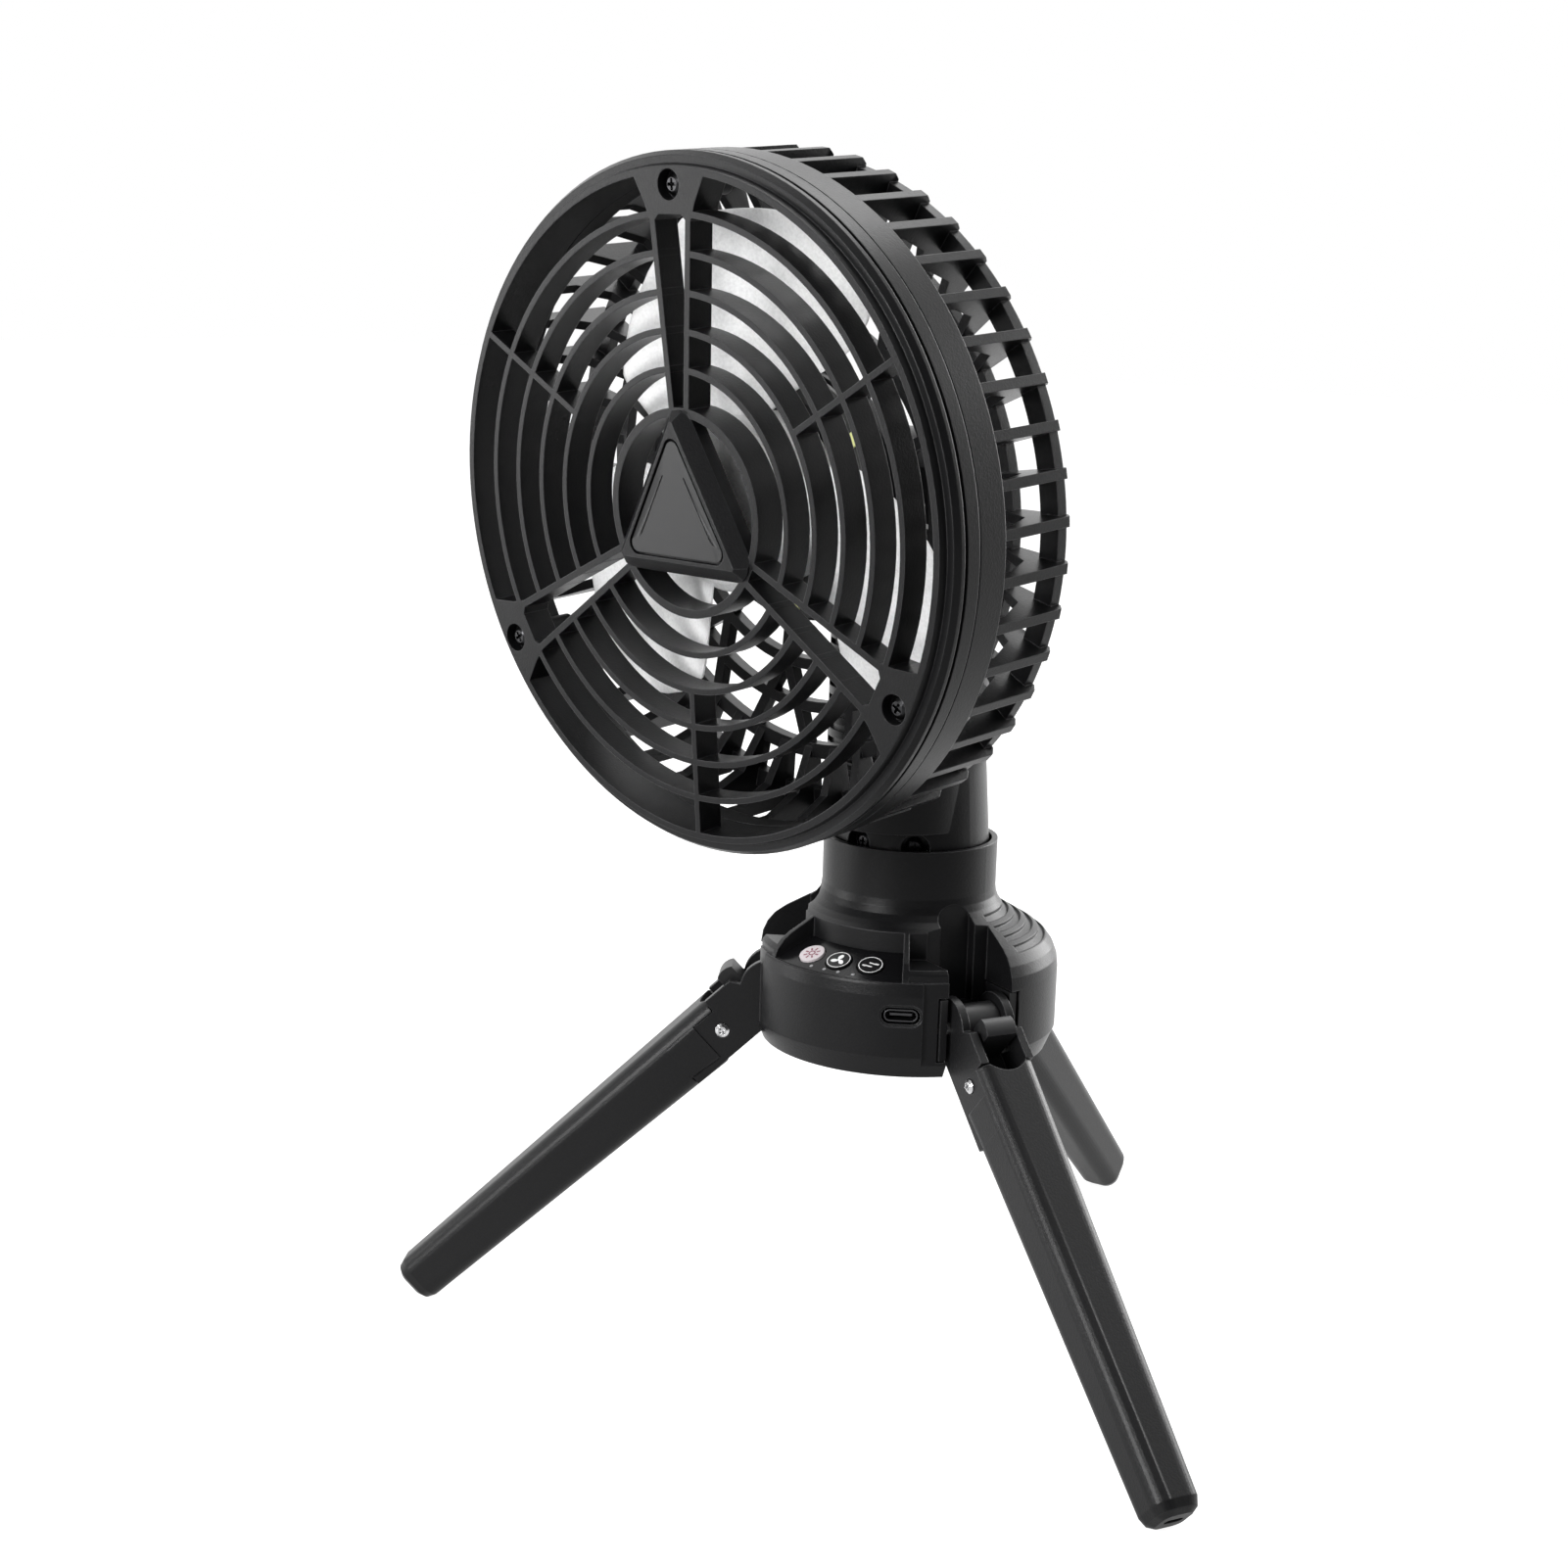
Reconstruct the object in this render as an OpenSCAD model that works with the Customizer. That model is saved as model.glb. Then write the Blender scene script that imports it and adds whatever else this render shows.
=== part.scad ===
// Portable camping fan on three folding legs.
// Units are millimetres and +Z is up. The origin is the centre of the base underside.
// The control panel faces -Y. The head is turned and tipped to its display pose.

/* [Fan head] */
// outside diameter of the front ring
ring_d = 176; // [174:1:180]
// radial wall of the front ring
ring_wall = 5.3; // [5:0.1:6]
// depth of the front ring behind its face
ring_depth = 10.2; // [9.5:0.1:11]
// width of one grille bar at its front edge
bar_w = 1.6; // [1.4:0.1:2]
// depth of the grille bars
bar_depth = 7.5; // [6:0.5:8]
// number of grille arcs between the hub ring and the front ring
arc_count = 5; // [4:1:6]
// outside diameter of the hub ring
hub_ring_d = 52.8; // [50:0.2:55]
// depth of the whole cage behind the face
cage_depth = 45; // [44:0.5:47]
// number of side ribs around the cage
rib_count = 48; // [36:12:60]
// thickness of one side rib
rib_w = 2.6; // [2:0.1:3]
// distance from the tilt axis forward to the face
head_reach = 91; // [90:0.5:94]
// turn of the head away from the control panel, seen from above
head_yaw = -11.3; // [-45:0.1:45]
// downward tip of the head from level
head_tilt = 5.3; // [-40:0.1:6]

/* [Fan rotor] */
// diameter over the blade tips
blade_d = 146; // [130:1:150]
// number of blades
blade_count = 3; // [3:1:4]
// turn of one blade about the shaft from its front edge to its rear edge
blade_sweep = 84; // [60:1:90]
// depth of the blade front edge behind the face
blade_front = 13; // [12.5:0.5:15]
// outside diameter of the blade hub
blade_hub_d = 44; // [40:1:46]
// diameter of the motor shaft
shaft_d = 3; // [3:0.5:4]

/* [Neck] */
// height of the tilt axis above the base underside
pivot_h = 161.3; // [158:0.1:166]
// diameter of the neck foot inside the collar
neck_foot_d = 44; // [43:0.2:44.4]
// spacing of the grip ridges on the bulge
ridge_pitch = 3.9; // [3:0.1:5]
// half width of the ridged grip
ridge_half = 13; // [10:0.5:16]
// diameter of the tilt pin
tilt_pin_d = 6; // [5:0.5:7]
// diameter of one battery cell
cell_d = 18.2; // [16:0.1:18.4]
// length of one battery cell
cell_len = 65; // [50:1:66]

/* [Base] */
// diameter of the round base
base_d = 86; // [84:1:90]
// height of the collar rim above the base underside
collar_h = 58.7; // [56:0.1:62]
// wall of the base housing
base_wall = 2.2; // [1.8:0.1:2.6]
// slope of the control panel
panel_slope = 24; // [20:1:28]
// diameter of one push button
button_d = 7.2; // [6.5:0.1:7.3]
// travel of one push button
button_travel = 0.8; // [0.5:0.1:1]

/* [Legs] */
// length of a leg from its hinge axis to its tip
leg_len = 141.5; // [138:0.5:144]
// width of a leg at its hinge end
leg_w = 17.6; // [17:0.1:18]
// height of a leg at its hinge end
leg_h = 18; // [17:0.1:18.4]
// width of a leg at its tip
tip_w = 13.6; // [12:0.1:15]
// height of a leg at its tip
tip_h = 14.2; // [12:0.1:15]
// drop of an open leg below level
leg_drop = 43.56; // [41:0.01:46]
// height of the hinge axes above the base underside
hinge_h = 13.4; // [12.5:0.1:14]
// diameter of a hinge pin
pin_d = 3.6; // [3:0.2:4]
// travel of a leg latch along its leg
latch_travel = 5; // [3:0.5:5]

/* [Hidden] */
$fn = 96;

// clearances
run_gap = 0.05;         // radial clearance of a turning fit
seat_gap = 0.3;         // clearance of a piece in its seat
pass_gap = 0.4;         // clearance of pieces that pass each other
cut = 1;                // overshoot of a cutting shape
far = 80;               // length of a shape that is trimmed by another
weld = 0.01;            // overlap that joins two shapes of one piece

// colours
charcoal = [0.16, 0.16, 0.17];
black = [0.06, 0.06, 0.065];
frost = [0.86, 0.87, 0.88];
steel = [0.72, 0.72, 0.74];
pcb_green = [0.1, 0.3, 0.18];

// front grille, depths counted backwards from the face
ring_r = ring_d / 2;
ring_in_r = ring_r - ring_wall;
face_r = ring_in_r + 1.8;
step_depth = 2.2;
step_w = 1.9;
chamfer_depth = 1.6;
band_depth = 5;
groove_depth = 1;
groove_w = 1.1;
lip_wall = 1.7;
lip_depth = ring_depth + 2.8;
part_gap = 0.4;
hub_ring_r = hub_ring_d / 2;
hub_wall = 2.2;
boss_back = bar_depth + 1;
sectors = [0, 120, 240];
screw_r = ring_in_r - 2.7;
screw_head_d = 5.5;
screw_d = 2.5;
screw_hole_d = screw_d + 0.3;
screw_len = 11;
recess_d = screw_head_d + 2;
recess_depth = 3.2;
boss_y = screw_r - 7;
boss_half = 12.5;
member_w = 1.8;
member_near = 1.7;
member_far = 5.5;
cap_rise = 3.2;
cap_corner = 5;
cap_back = 4;
cap_bevel = 46;
cap_reach = hub_ring_r - cap_corner - 0.5;
badge_corner = 2.2;
badge_reach = cap_reach - 4.6;
badge_groove = 0.7;
badge_depth = 1.6;
function arc_r(k) = hub_ring_r + k * (ring_in_r - hub_ring_r) / (arc_count + 1);

// rear cage
cage_r = ring_r - 0.4;
cage_back = -cage_depth;
band_w = 8.8;
band_end = ring_depth + part_gap + band_w;
rib_depth = 3.3;
lattice_t = 3.2;
rim_out = cage_r - 2.2;
rim_in = rim_out - 5.4;
truss_out = rim_in - 8.5;
truss_in = truss_out - 4;
mid_out = truss_in - 8.5;
mid_in = mid_out - 3;
inner_out = mid_in - 8.5;
inner_in = inner_out - 3;
strut_w = 3.2;
truss_count = 12;
truss_half = 8.5;
truss_turn = -9.5;
plate_r = inner_in - 10.5;
cage_boss_r = 3.4;
hub_screw_r = 20;
hub_screw_turns = [45 : 90 : 315];
motor_hole_r = 9;

// lamp and motor, stacked forwards from the cage back
motor_plate_t = 2.5;
motor_plate_z = cage_back + lattice_t;
lamp_post_h = 1.3;
led_board_t = 1.2;
chip_size = 3.5;
chip_t = 0.8;
led_ring_r = plate_r - 5;
led_board_z = motor_plate_z + motor_plate_t + lamp_post_h;
led_count = 6;
led_first = 33;
led_turns = [for (k = [0 : led_count - 1]) led_first + k * 360 / led_count];
stator_base = motor_plate_z + motor_plate_t;
stator_r = 11;
stator_h = 14;
bearing_r = 4.5;
bearing_t = 3;
tube_r = bearing_r + 1.6;
core_r = tube_r + 2.4;
stator_top = -blade_front - 3.5;
pole_count = 9;
pole_turns = [for (k = [0 : pole_count - 1]) k * 360 / pole_count];

// blades
blade_gap = 1;
lamp_stack = lattice_t + motor_plate_t + lamp_post_h + led_board_t + chip_t;
blade_depth = cage_depth - blade_front - lamp_stack - blade_gap;
blade_tip = blade_d / 2;
blade_root = blade_hub_d / 2 - 1.5;
blade_from = 55;
blade_thick = 1.8;
blade_knee = 45;
rear_knee = 52;
front_cut = 34;
root_cut = 30;
tip_cut = 14;
blade_rings = 12;
blade_steps = 16;
can_r = 15;
can_wall = 1.8;
can_top = 1.2;
can_floor = -blade_front - 2;
can_skirt = -blade_front - blade_depth + 1;
hub_bevel = 2.5;
nut_base = 1;
nut_flange_r = 5.5;
nut_flange_h = 2;
nut_r = 5;
nut_h = 3.2;
shaft_out = 6;

// rear housing and tilt arm
arm_half = 9.6;
arm_h = 9;
barrel_r = 11;
housing_r = 27.5;
housing_depth = 9;
housing_neck_r = 14.5;
housing_cone = 14;
housing_wall = 2.2;
housing_boss_r = 3.9;
housing_back = cage_back - housing_depth - housing_cone;
hub_screw_head_d = 4.6;
hub_screw_len = housing_depth - 0.5 + lattice_t + motor_plate_t - 0.4;

// battery neck
neck_wall = 1.8;
cell_gap = 0.2;
pair_y = 1.5;
cell_reach = norm([cell_d / 2 + cell_gap / 2, pair_y]) + cell_d / 2;
neck_r = cell_reach + cell_gap + neck_wall;
front_cell_y = pair_y - cell_d * sin(60) - seat_gap;
bulge_shift = cell_d / 2 - front_cell_y + 0.75 + neck_wall - neck_r;
holder_t = 1.6;
cell_z = 67;
holder_top = cell_z + cell_len + holder_t;
bulge_z0 = cell_z - holder_t - cell_gap - neck_wall;
bulge_z1 = holder_top + cell_gap + neck_wall;
bulge_bevel = [2.2, 1.2];
slot_half = arm_half + pass_gap;
slot_floor = pivot_h - 20;
room_top = slot_floor - 3;
slot_back = barrel_r + 1;
dome_r = 24;
dome_top = 13;
neck_taper_z = 80;
ridge_z0 = bulge_z0 + 10.8;
ridge_z1 = bulge_z1 - 7;
ridge_cut = 1.1;
ridge_h = 1.7;
pin_stick = 1.5;
neck_foot_r = neck_foot_d / 2;
foot_turns = [-135, -90, -45, 90];
foot_hole_d = 8;
foot_hole_z = collar_h + 0.4;
foot_r = neck_foot_r - neck_wall - 0.15;
foot_wall = 1.8;
foot_boss_r = 5.4;
foot_boss_in = neck_foot_r - 5.5;
foot_web = 1.5;
foot_t = 3;
lug_w = 8;
lug_d = 5.5;
foot_screw_d = 5;
foot_screw_len = 5.5;
drive_r = 6;
drive_shaft_r = 2.5;

// base
base_r = base_d / 2;
collar_wall = 1.6;
collar_in = neck_foot_r + 0.9;
collar_r = collar_in + collar_wall;
chamfer_h = 6;
chamfer_w = 2.5;
shoulder_h = 23;
shoulder_round = 12;
shoulder_turn = 60;
flare_round = 8;
cover_t = 2.4;
deck_z = 34;
deck_t = 3;
neck_bottom = deck_z + deck_t + 3;
post_turns = [30, 150, 270];
post_r = base_r - 10;
post_h = 13;
post_d = 6.4;
post_rib = 1.8;
cover_screw_d = 2.4;
cover_head_d = 4.6;
cover_screw_len = 9;
cover_sink = 1.2;
motor_can_r = 13.8;
gear_can_r = 12;
motor_can_top = 22;

// base profile: a rounded shoulder, a straight slope and a flare that runs up into the collar
shoulder_end_r = base_r - shoulder_round * (1 - cos(shoulder_turn));
shoulder_end_z = shoulder_h + shoulder_round * sin(shoulder_turn);
flare_start_r = collar_r + flare_round * (1 - cos(shoulder_turn));
flare_start_z = shoulder_end_z + (shoulder_end_r - flare_start_r) / tan(shoulder_turn);
flare_z = flare_start_z + flare_round * sin(shoulder_turn);
// height of the base surface at radius r on its shoulder, slope or flare
function shoulder_z(r) = r > shoulder_end_r
    ? shoulder_h + sqrt(pow(shoulder_round, 2) - pow(r - base_r + shoulder_round, 2))
    : r > flare_start_r ? shoulder_end_z + (shoulder_end_r - r) / tan(shoulder_turn)
    : flare_z - sqrt(pow(flare_round, 2) - pow(collar_r + flare_round - r, 2));
// points of the base side, set in by a wall
function base_side(wall) = concat(
    [[base_r - chamfer_w - wall, 0], [base_r - wall, chamfer_h]],
    [for (a = [0 : 15 : shoulder_turn]) [base_r - shoulder_round + (shoulder_round - wall) * cos(a),
                                         shoulder_h + (shoulder_round - wall) * sin(a)]],
    [for (a = [shoulder_turn : -15 : 0]) [collar_r + flare_round - (flare_round + wall) * cos(a),
                                          flare_z - (flare_round + wall) * sin(a)]]);
// height of the panel surface at radius r
function panel_z(r) = panel_h + (panel_out - r) * tan(panel_slope);

// control panel
panel_half = 29;
fin_half = 31.5;
pod_half = 37;
strip_half = 48;
recess_in = base_r - 13;
panel_rim = 1;
panel_out = base_r - panel_rim;
panel_h = 26;
panel_t = 0.6;
panel_floor_t = 3;
pod_rim_h = 26.7;
ledge_h = 30;
ledge_out = base_r - 1.4;
strip_step = 1;
strip_bottom = 1.8;
button_r = base_r - 7;
button_step = 15;
button_rise = 1;
button_deep = 1.6;
stem_d = 3.4;
stem_end = 3.6;
well_d = button_d + 0.6;
light_r = base_r - 3;
light_step = 6.35;
light_d = 1;
light_hole_d = light_d + 0.1;
board_drop = stem_end + button_travel + 2.1;
board_t = 1.2;
board_r = base_r - 7.5;
board_w = 12;
board_len = 32;
board_post_r = base_r - 11.5;
board_post_x = 14;
board_post_d = 3.2;
switch_w = 4.4;
vent_count = 4;
vent_first = collar_r + 3;
vent_step = 3.5;
vent_w = 2;
vent_depth = 0.8;
vent_half = 38;
socket_turn = -61;
socket_z = 17.7;
socket_hole = [4.6, 10.4];
socket_rim = [6, 11.8];
socket_rim_depth = 0.5;
socket_shell = [3.4, 9.2];
socket_wall = 0.4;
socket_len = 7;
tongue = [5, 6, 0.7];

// legs: s runs along a leg from its hinge axis, z out of its upper side
leg_angles = [210, -30, 90];
hinge_r = base_r - 5;
knuckle_half = 5.4;
knuckle_r = 6;
cheek_r = 8.5;
cheek_t = 2.4;
cheek_in = knuckle_half + pass_gap;
cheek_out = cheek_in + cheek_t;
cheek_top = leg_h / 2 + 0.4;
cheek_low = 5.9;
cheek_from = 5.2;
cheek_slope = 2;
tube_start = 16.8;
skirt_end = 24;
bracket_end = 34;
bracket_floor = -7.4;
channel_floor = -1.4;
leg_corner = 4.5;
tip_round = 4;
tip_mid = 1.4;
tip_hole = [2.6, 5.6];
scoop_r = 7.5;
scoop_reach = 2.5;
hollow_len = 70;
hollow_half = 4.6;
hollow_low = -5;
hollow_top = 4.4;
latch_s = 4.6;
latch_len = 5.4;
latch_half = 4.6;
latch_top = 12.4;
latch_round = 5;
slot_end = latch_s + latch_len + latch_travel + 2.6;
catch_s = latch_s + latch_len + 3.4;
leg_screw_s = 18.2;
leg_screw_d = 4;
leg_shank_d = 2.6;
leg_screw_len = 5;
leg_screw_sink = 0.6;
catch_screw_d = 2.6;
catch_shank_d = 1.6;
catch_screw_len = 4;
catch_sink = 1.2;

// leg bays in the base
niche_half = leg_w / 2 + 0.9;
niche_back = hinge_r - leg_h / 2 - 1.1;
groove_half = latch_half + 0.8;
groove_back = hinge_r - latch_top - 1;
arch_h = flare_z - 1.4;
ear_t = 2.2;
ear_slit = 0.5;
ear_top = 22;
ear_bottom = 5;
ear_face = base_r - 2.4;
ear_out = niche_half + ear_t;
ear_seat = ear_out + ear_slit;
block_plate = 2;
block_back = niche_back - block_plate + seat_gap;
block_top = hinge_h + 3;
knuckle_low = 5;

// ---------------------------------------------------------------- placement
// head frame: x to the right, y up, z forward, origin at the face centre
module in_head() {
    translate([0, 0, pivot_h]) rotate([0, 0, head_yaw]) rotate([head_tilt, 0, 0])
        translate([0, -head_reach, 0]) rotate([90, 0, 0]) children();
}
// neck frame: turned with the neck about the base axis
module in_neck() {
    rotate([0, 0, head_yaw]) children();
}
// leg frame: x along the leg, y across it, z out of its upper side, origin on the hinge axis
module in_leg(angle) {
    rotate([0, 0, angle]) translate([hinge_r, 0, hinge_h]) rotate([0, leg_drop, 0]) children();
}
// panel frame: z out of the sloped panel, x outwards, at a radius and an angle from the panel centre
module on_panel(r, angle) {
    rotate([0, 0, angle - 90]) translate([r, 0, panel_z(r)]) rotate([0, panel_slope, 0]) children();
}
// turned copies about the z axis
module turned(turns) {
    for (a = turns) rotate([0, 0, a]) children();
}
// the shape and its mirror image across the y = 0 plane
module both_sides() {
    for (m = [0, 1]) mirror([0, m, 0]) children();
}

// ---------------------------------------------------------------- shared shapes
module ring(outer, inner, height) {
    difference() {
        cylinder(r = outer, h = height);
        translate([0, 0, -cut]) cylinder(r = inner, h = height + 2 * cut);
    }
}
module ring_2d(outer, inner) {
    difference() {
        circle(r = outer);
        circle(r = inner);
    }
}
// cylinder between two heights
module column(radius, z0, z1) {
    translate([0, 0, z0]) cylinder(r = radius, h = z1 - z0);
}
// cylinder along y, centred across the leg frame
module cross_bore(radius) {
    rotate([-90, 0, 0]) cylinder(r = radius, h = 2 * far, center = true);
}
// wedge about the x axis, wide enough to trim the base
module wedge(half) {
    translate([0, 0, -cut]) linear_extrude(far + cut)
        polygon([[0, 0], far * [cos(half), -sin(half)], [far, 0], far * [cos(half), sin(half)]]);
}
// solid with round ends, its length along y
module slot_solid(size, depth) {
    span = size[1] - size[0];
    both_sides() translate([0, span / 2, 0]) cylinder(d = size[0], h = depth);
    translate([-size[0] / 2, -span / 2, 0]) cube([size[0], span, depth]);
}
// rounded triangle with its corners up, lower left and lower right
module rounded_triangle(reach, corner) {
    polygon([for (a = [90, 210, 330]) reach * [cos(a), sin(a)]]);
    for (a = [90, 210, 330]) {
        rotate(a) translate([reach, 0]) circle(r = corner);
        rotate(a + 60) translate([reach / 2, -reach * sin(60)]) square([corner, 2 * reach * sin(60)]);
    }
}
// pan head screw with a cross recess, its head underside at z = 0 and its shank down
module pan_screw(head_d, shank_d, length) {
    head_h = head_d * 0.38;
    rim_h = head_h * 0.6;
    recess_w = head_d * 0.13;
    recess_l = head_d * 0.52;
    difference() {
        union() {
            cylinder(d = head_d, h = rim_h);
            translate([0, 0, rim_h - weld]) cylinder(d1 = head_d, d2 = head_d * 0.6, h = head_h - rim_h);
            translate([0, 0, -length]) cylinder(d = shank_d, h = length + weld);
        }
        for (a = [0, 90]) rotate([0, 0, a])
            translate([-recess_l / 2, -recess_w / 2, head_h * 0.45]) cube([recess_l, recess_w, head_h]);
    }
}

// ---------------------------------------------------------------- front grille
// plate round one screw, between the ends of two long bars, pointing up
module boss_shape() {
    side = member_far + member_w;
    boss_end = sqrt(pow(ring_in_r, 2) - pow(boss_half, 2)) + 0.5;
    right = [[member_far - 1.5, boss_y], [member_far, boss_y - 1.5], [side, boss_y - 1.5],
             [side + 1.5, boss_y + 2.5], [boss_half, boss_end]];
    polygon(concat(right, [[0, ring_in_r + 0.5]], [for (k = [4 : -1 : 0]) [-right[k][0], right[k][1]]]));
}
module long_bars() {
    for (m = [0, 1]) mirror([m, 0])
        polygon([[member_near, hub_ring_r - 1], [member_near + member_w, hub_ring_r - 1],
                 [member_far + member_w, boss_y], [member_far, boss_y]]);
}
// opening between two long bars
module bar_window() {
    polygon([[-member_near, hub_ring_r + 0.2], [member_near, hub_ring_r + 0.2],
             [member_far, boss_y], [-member_far, boss_y]]);
}
module grille_bars() {
    difference() {
        for (k = [1 : arc_count]) ring_2d(arc_r(k) + bar_w / 2, arc_r(k) - bar_w / 2);
        for (a = sectors) rotate(a) bar_window();
    }
    for (a = sectors) rotate(a) long_bars();
    // short spoke from the second arc to the ring
    for (a = sectors) rotate(a - 90) translate([arc_r(2), -bar_w / 2])
        square([ring_in_r - arc_r(2) + 0.5, bar_w]);
}
// stepped ring with a trim groove and a lip that centres the rear cage
module grille_ring() {
    ledge_r = face_r + 0.5 + step_w;
    groove_r = ring_r - groove_depth;
    lip_r = ring_in_r + lip_wall;
    rotate_extrude() polygon([
        [ring_in_r, 0], [face_r, 0], [face_r + 0.5, -step_depth], [ledge_r, -step_depth],
        [ring_r, -step_depth - chamfer_depth], [ring_r, -band_depth], [groove_r, -band_depth],
        [groove_r, -band_depth - groove_w], [ring_r, -band_depth - groove_w], [ring_r, -ring_depth],
        [lip_r, -ring_depth], [lip_r, -lip_depth], [ring_in_r, -lip_depth]]);
}
// raised three-cornered hub cap with sloped sides
module hub_cap() {
    difference() {
        intersection() {
            translate([0, 0, -cap_back]) linear_extrude(cap_back + cap_rise)
                rounded_triangle(cap_reach, cap_corner);
            rotate_extrude() polygon([[0, -cap_back], [hub_ring_r, -cap_back], [hub_ring_r - 0.2, 0.4],
                                      [hub_ring_r - cap_rise, cap_rise], [0, cap_rise]]);
        }
        turned([30, 150, 270]) translate([cap_reach / 2 + cap_corner, -hub_ring_r, -0.2])
            rotate([0, -cap_bevel, 0]) cube([8, 2 * hub_ring_r, 8]);
    }
}
module front_grille() {
    color(charcoal) in_head() difference() {
        union() {
            grille_ring();
            translate([0, 0, -bar_depth]) linear_extrude(bar_depth) grille_bars();
            translate([0, 0, -boss_back]) linear_extrude(boss_back)
                for (a = sectors) rotate(a) boss_shape();
            translate([0, 0, -boss_back]) ring(hub_ring_r, hub_ring_r - hub_wall, boss_back);
            hub_cap();
        }
        turned(sectors) translate([0, screw_r, 0]) {
            translate([0, 0, -recess_depth]) cylinder(d = recess_d, h = recess_depth + cut);
            translate([0, 0, -boss_back - cut]) cylinder(d = screw_hole_d, h = boss_back + 2 * cut);
        }
        translate([0, 0, cap_rise - badge_depth]) linear_extrude(badge_depth + cut)
            rounded_triangle(badge_reach, badge_corner + badge_groove);
    }
}
module hub_badge() {
    color(black) in_head() translate([0, 0, cap_rise - badge_depth])
        linear_extrude(badge_depth - 0.2) rounded_triangle(badge_reach, badge_corner);
}
module grille_screws() {
    color(black) in_head() turned(sectors)
        translate([0, screw_r, -recess_depth]) pan_screw(screw_head_d, screw_d, screw_len);
}

// ---------------------------------------------------------------- rear cage
// one side rib as a plate in the plane through the fan axis
module side_rib() {
    root = cage_r - rib_depth;
    rotate([90, 0, 0]) translate([0, 0, -rib_w / 2]) linear_extrude(rib_w)
        polygon([[root, 1 - band_end], [cage_r, 1 - band_end], [cage_r, cage_back + 1.6],
                 [cage_r - 1.6, cage_back],
                 [truss_in + 1, cage_back], [truss_in + 1, cage_back + lattice_t],
                 [rim_in, cage_back + 9], [root, cage_back + 19]]);
}
// sloped lattice bar from the inner ring to the truss ring
module truss_bar() {
    from = inner_in + 1;
    to = (truss_in + 1) * [cos(truss_half), sin(truss_half)];
    half = strut_w / 2;
    polygon([[from, -half], [to[0], to[1] - half], [to[0], to[1] + half], [from, half]]);
}
module lattice() {
    ring_2d(rim_out, rim_in);
    ring_2d(truss_out, truss_in);
    ring_2d(mid_out, mid_in);
    ring_2d(inner_out, inner_in);
    circle(r = plate_r);
    for (k = [0 : truss_count - 1]) rotate(k * 360 / truss_count + truss_turn) {
        translate([plate_r - 1, -strut_w / 2]) square([inner_in - plate_r + 2, strut_w]);
        for (m = [0, 1]) mirror([0, m]) truss_bar();
    }
}
// screw boss behind the grille plate, trimmed to pass inside the grille lip
module cage_boss() {
    low = 0.6 - band_end;
    translate([screw_r, 0, 0]) column(cage_boss_r, low, -lip_depth - seat_gap - 0.5);
    intersection() {
        translate([screw_r, 0, 0]) column(cage_boss_r, low, -boss_back);
        column(ring_in_r - seat_gap, -band_end, 0);
    }
}
module rear_cage() {
    seat_r = ring_in_r + lip_wall + seat_gap;
    top = -ring_depth - part_gap;
    color(charcoal) in_head() difference() {
        union() {
            rotate_extrude() polygon([
                [seat_r, top], [ring_r, top], [ring_r, -band_end], [ring_in_r, -band_end],
                [ring_in_r, -lip_depth - seat_gap], [seat_r, -lip_depth - seat_gap]]);
            turned([for (k = [0 : rib_count - 1]) k * 360 / rib_count]) side_rib();
            translate([0, 0, cage_back]) linear_extrude(lattice_t) lattice();
            turned(sectors) rotate([0, 0, 90]) cage_boss();
        }
        turned(sectors) rotate([0, 0, 90]) translate([screw_r, 0, -band_end - cut])
            cylinder(d = screw_d, h = band_end);
        translate([0, 0, cage_back - cut]) cylinder(r = motor_hole_r, h = lattice_t + 2 * cut);
        turned(hub_screw_turns) translate([hub_screw_r, 0, cage_back - cut])
            cylinder(d = screw_hole_d, h = lattice_t + 2 * cut);
    }
}

// ---------------------------------------------------------------- motor and lamp
module motor_plate() {
    color(black) in_head() difference() {
        union() {
            translate([0, 0, motor_plate_z]) cylinder(r = plate_r - 1, h = motor_plate_t);
            column(tube_r, motor_plate_z, stator_top);
            turned([15 : 60 : 315]) translate([led_ring_r, 0, 0]) column(2, motor_plate_z, led_board_z);
        }
        translate([0, 0, motor_plate_z - cut]) cylinder(r = bearing_r, h = bearing_t + cut);
        translate([0, 0, stator_top - bearing_t]) cylinder(r = bearing_r, h = bearing_t + cut);
        column(shaft_d / 2 + 0.6, motor_plate_z - cut, stator_top + cut);
        turned(hub_screw_turns) translate([hub_screw_r, 0, 0])
            column(screw_d / 2, motor_plate_z - cut, stator_base + cut);
    }
}
// wound core with one tooth for each pole
module motor_stator() {
    color([0.55, 0.33, 0.16]) in_head() difference() {
        union() {
            column(core_r, stator_base, stator_base + stator_h);
            turned(pole_turns) translate([tube_r, -1.4, stator_base + 2])
                cube([stator_r - tube_r - 0.8, 2.8, stator_h - 3]);
            intersection() {
                translate([0, 0, stator_base + 1.5]) ring(stator_r, stator_r - 1.6, stator_h - 2);
                turned(pole_turns) translate([0, -3, stator_base]) cube([stator_r + cut, 6, stator_h]);
            }
        }
        column(tube_r, stator_base - cut, stator_base + stator_h + cut);
    }
}
module motor_bearings() {
    color(steel) in_head() for (z = [motor_plate_z, stator_top - bearing_t])
        translate([0, 0, z]) ring(bearing_r, shaft_d / 2 + run_gap, bearing_t);
}
module led_board() {
    color([0.09, 0.1, 0.1]) in_head() translate([0, 0, led_board_z])
        ring(led_ring_r + 3.6, led_ring_r - 4, led_board_t);
}
module led_chips() {
    color([0.85, 0.87, 0.25]) in_head() turned(led_turns)
        translate([led_ring_r - chip_size / 2, -chip_size / 2, led_board_z + led_board_t])
            cube([chip_size, chip_size, chip_t]);
}

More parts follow.
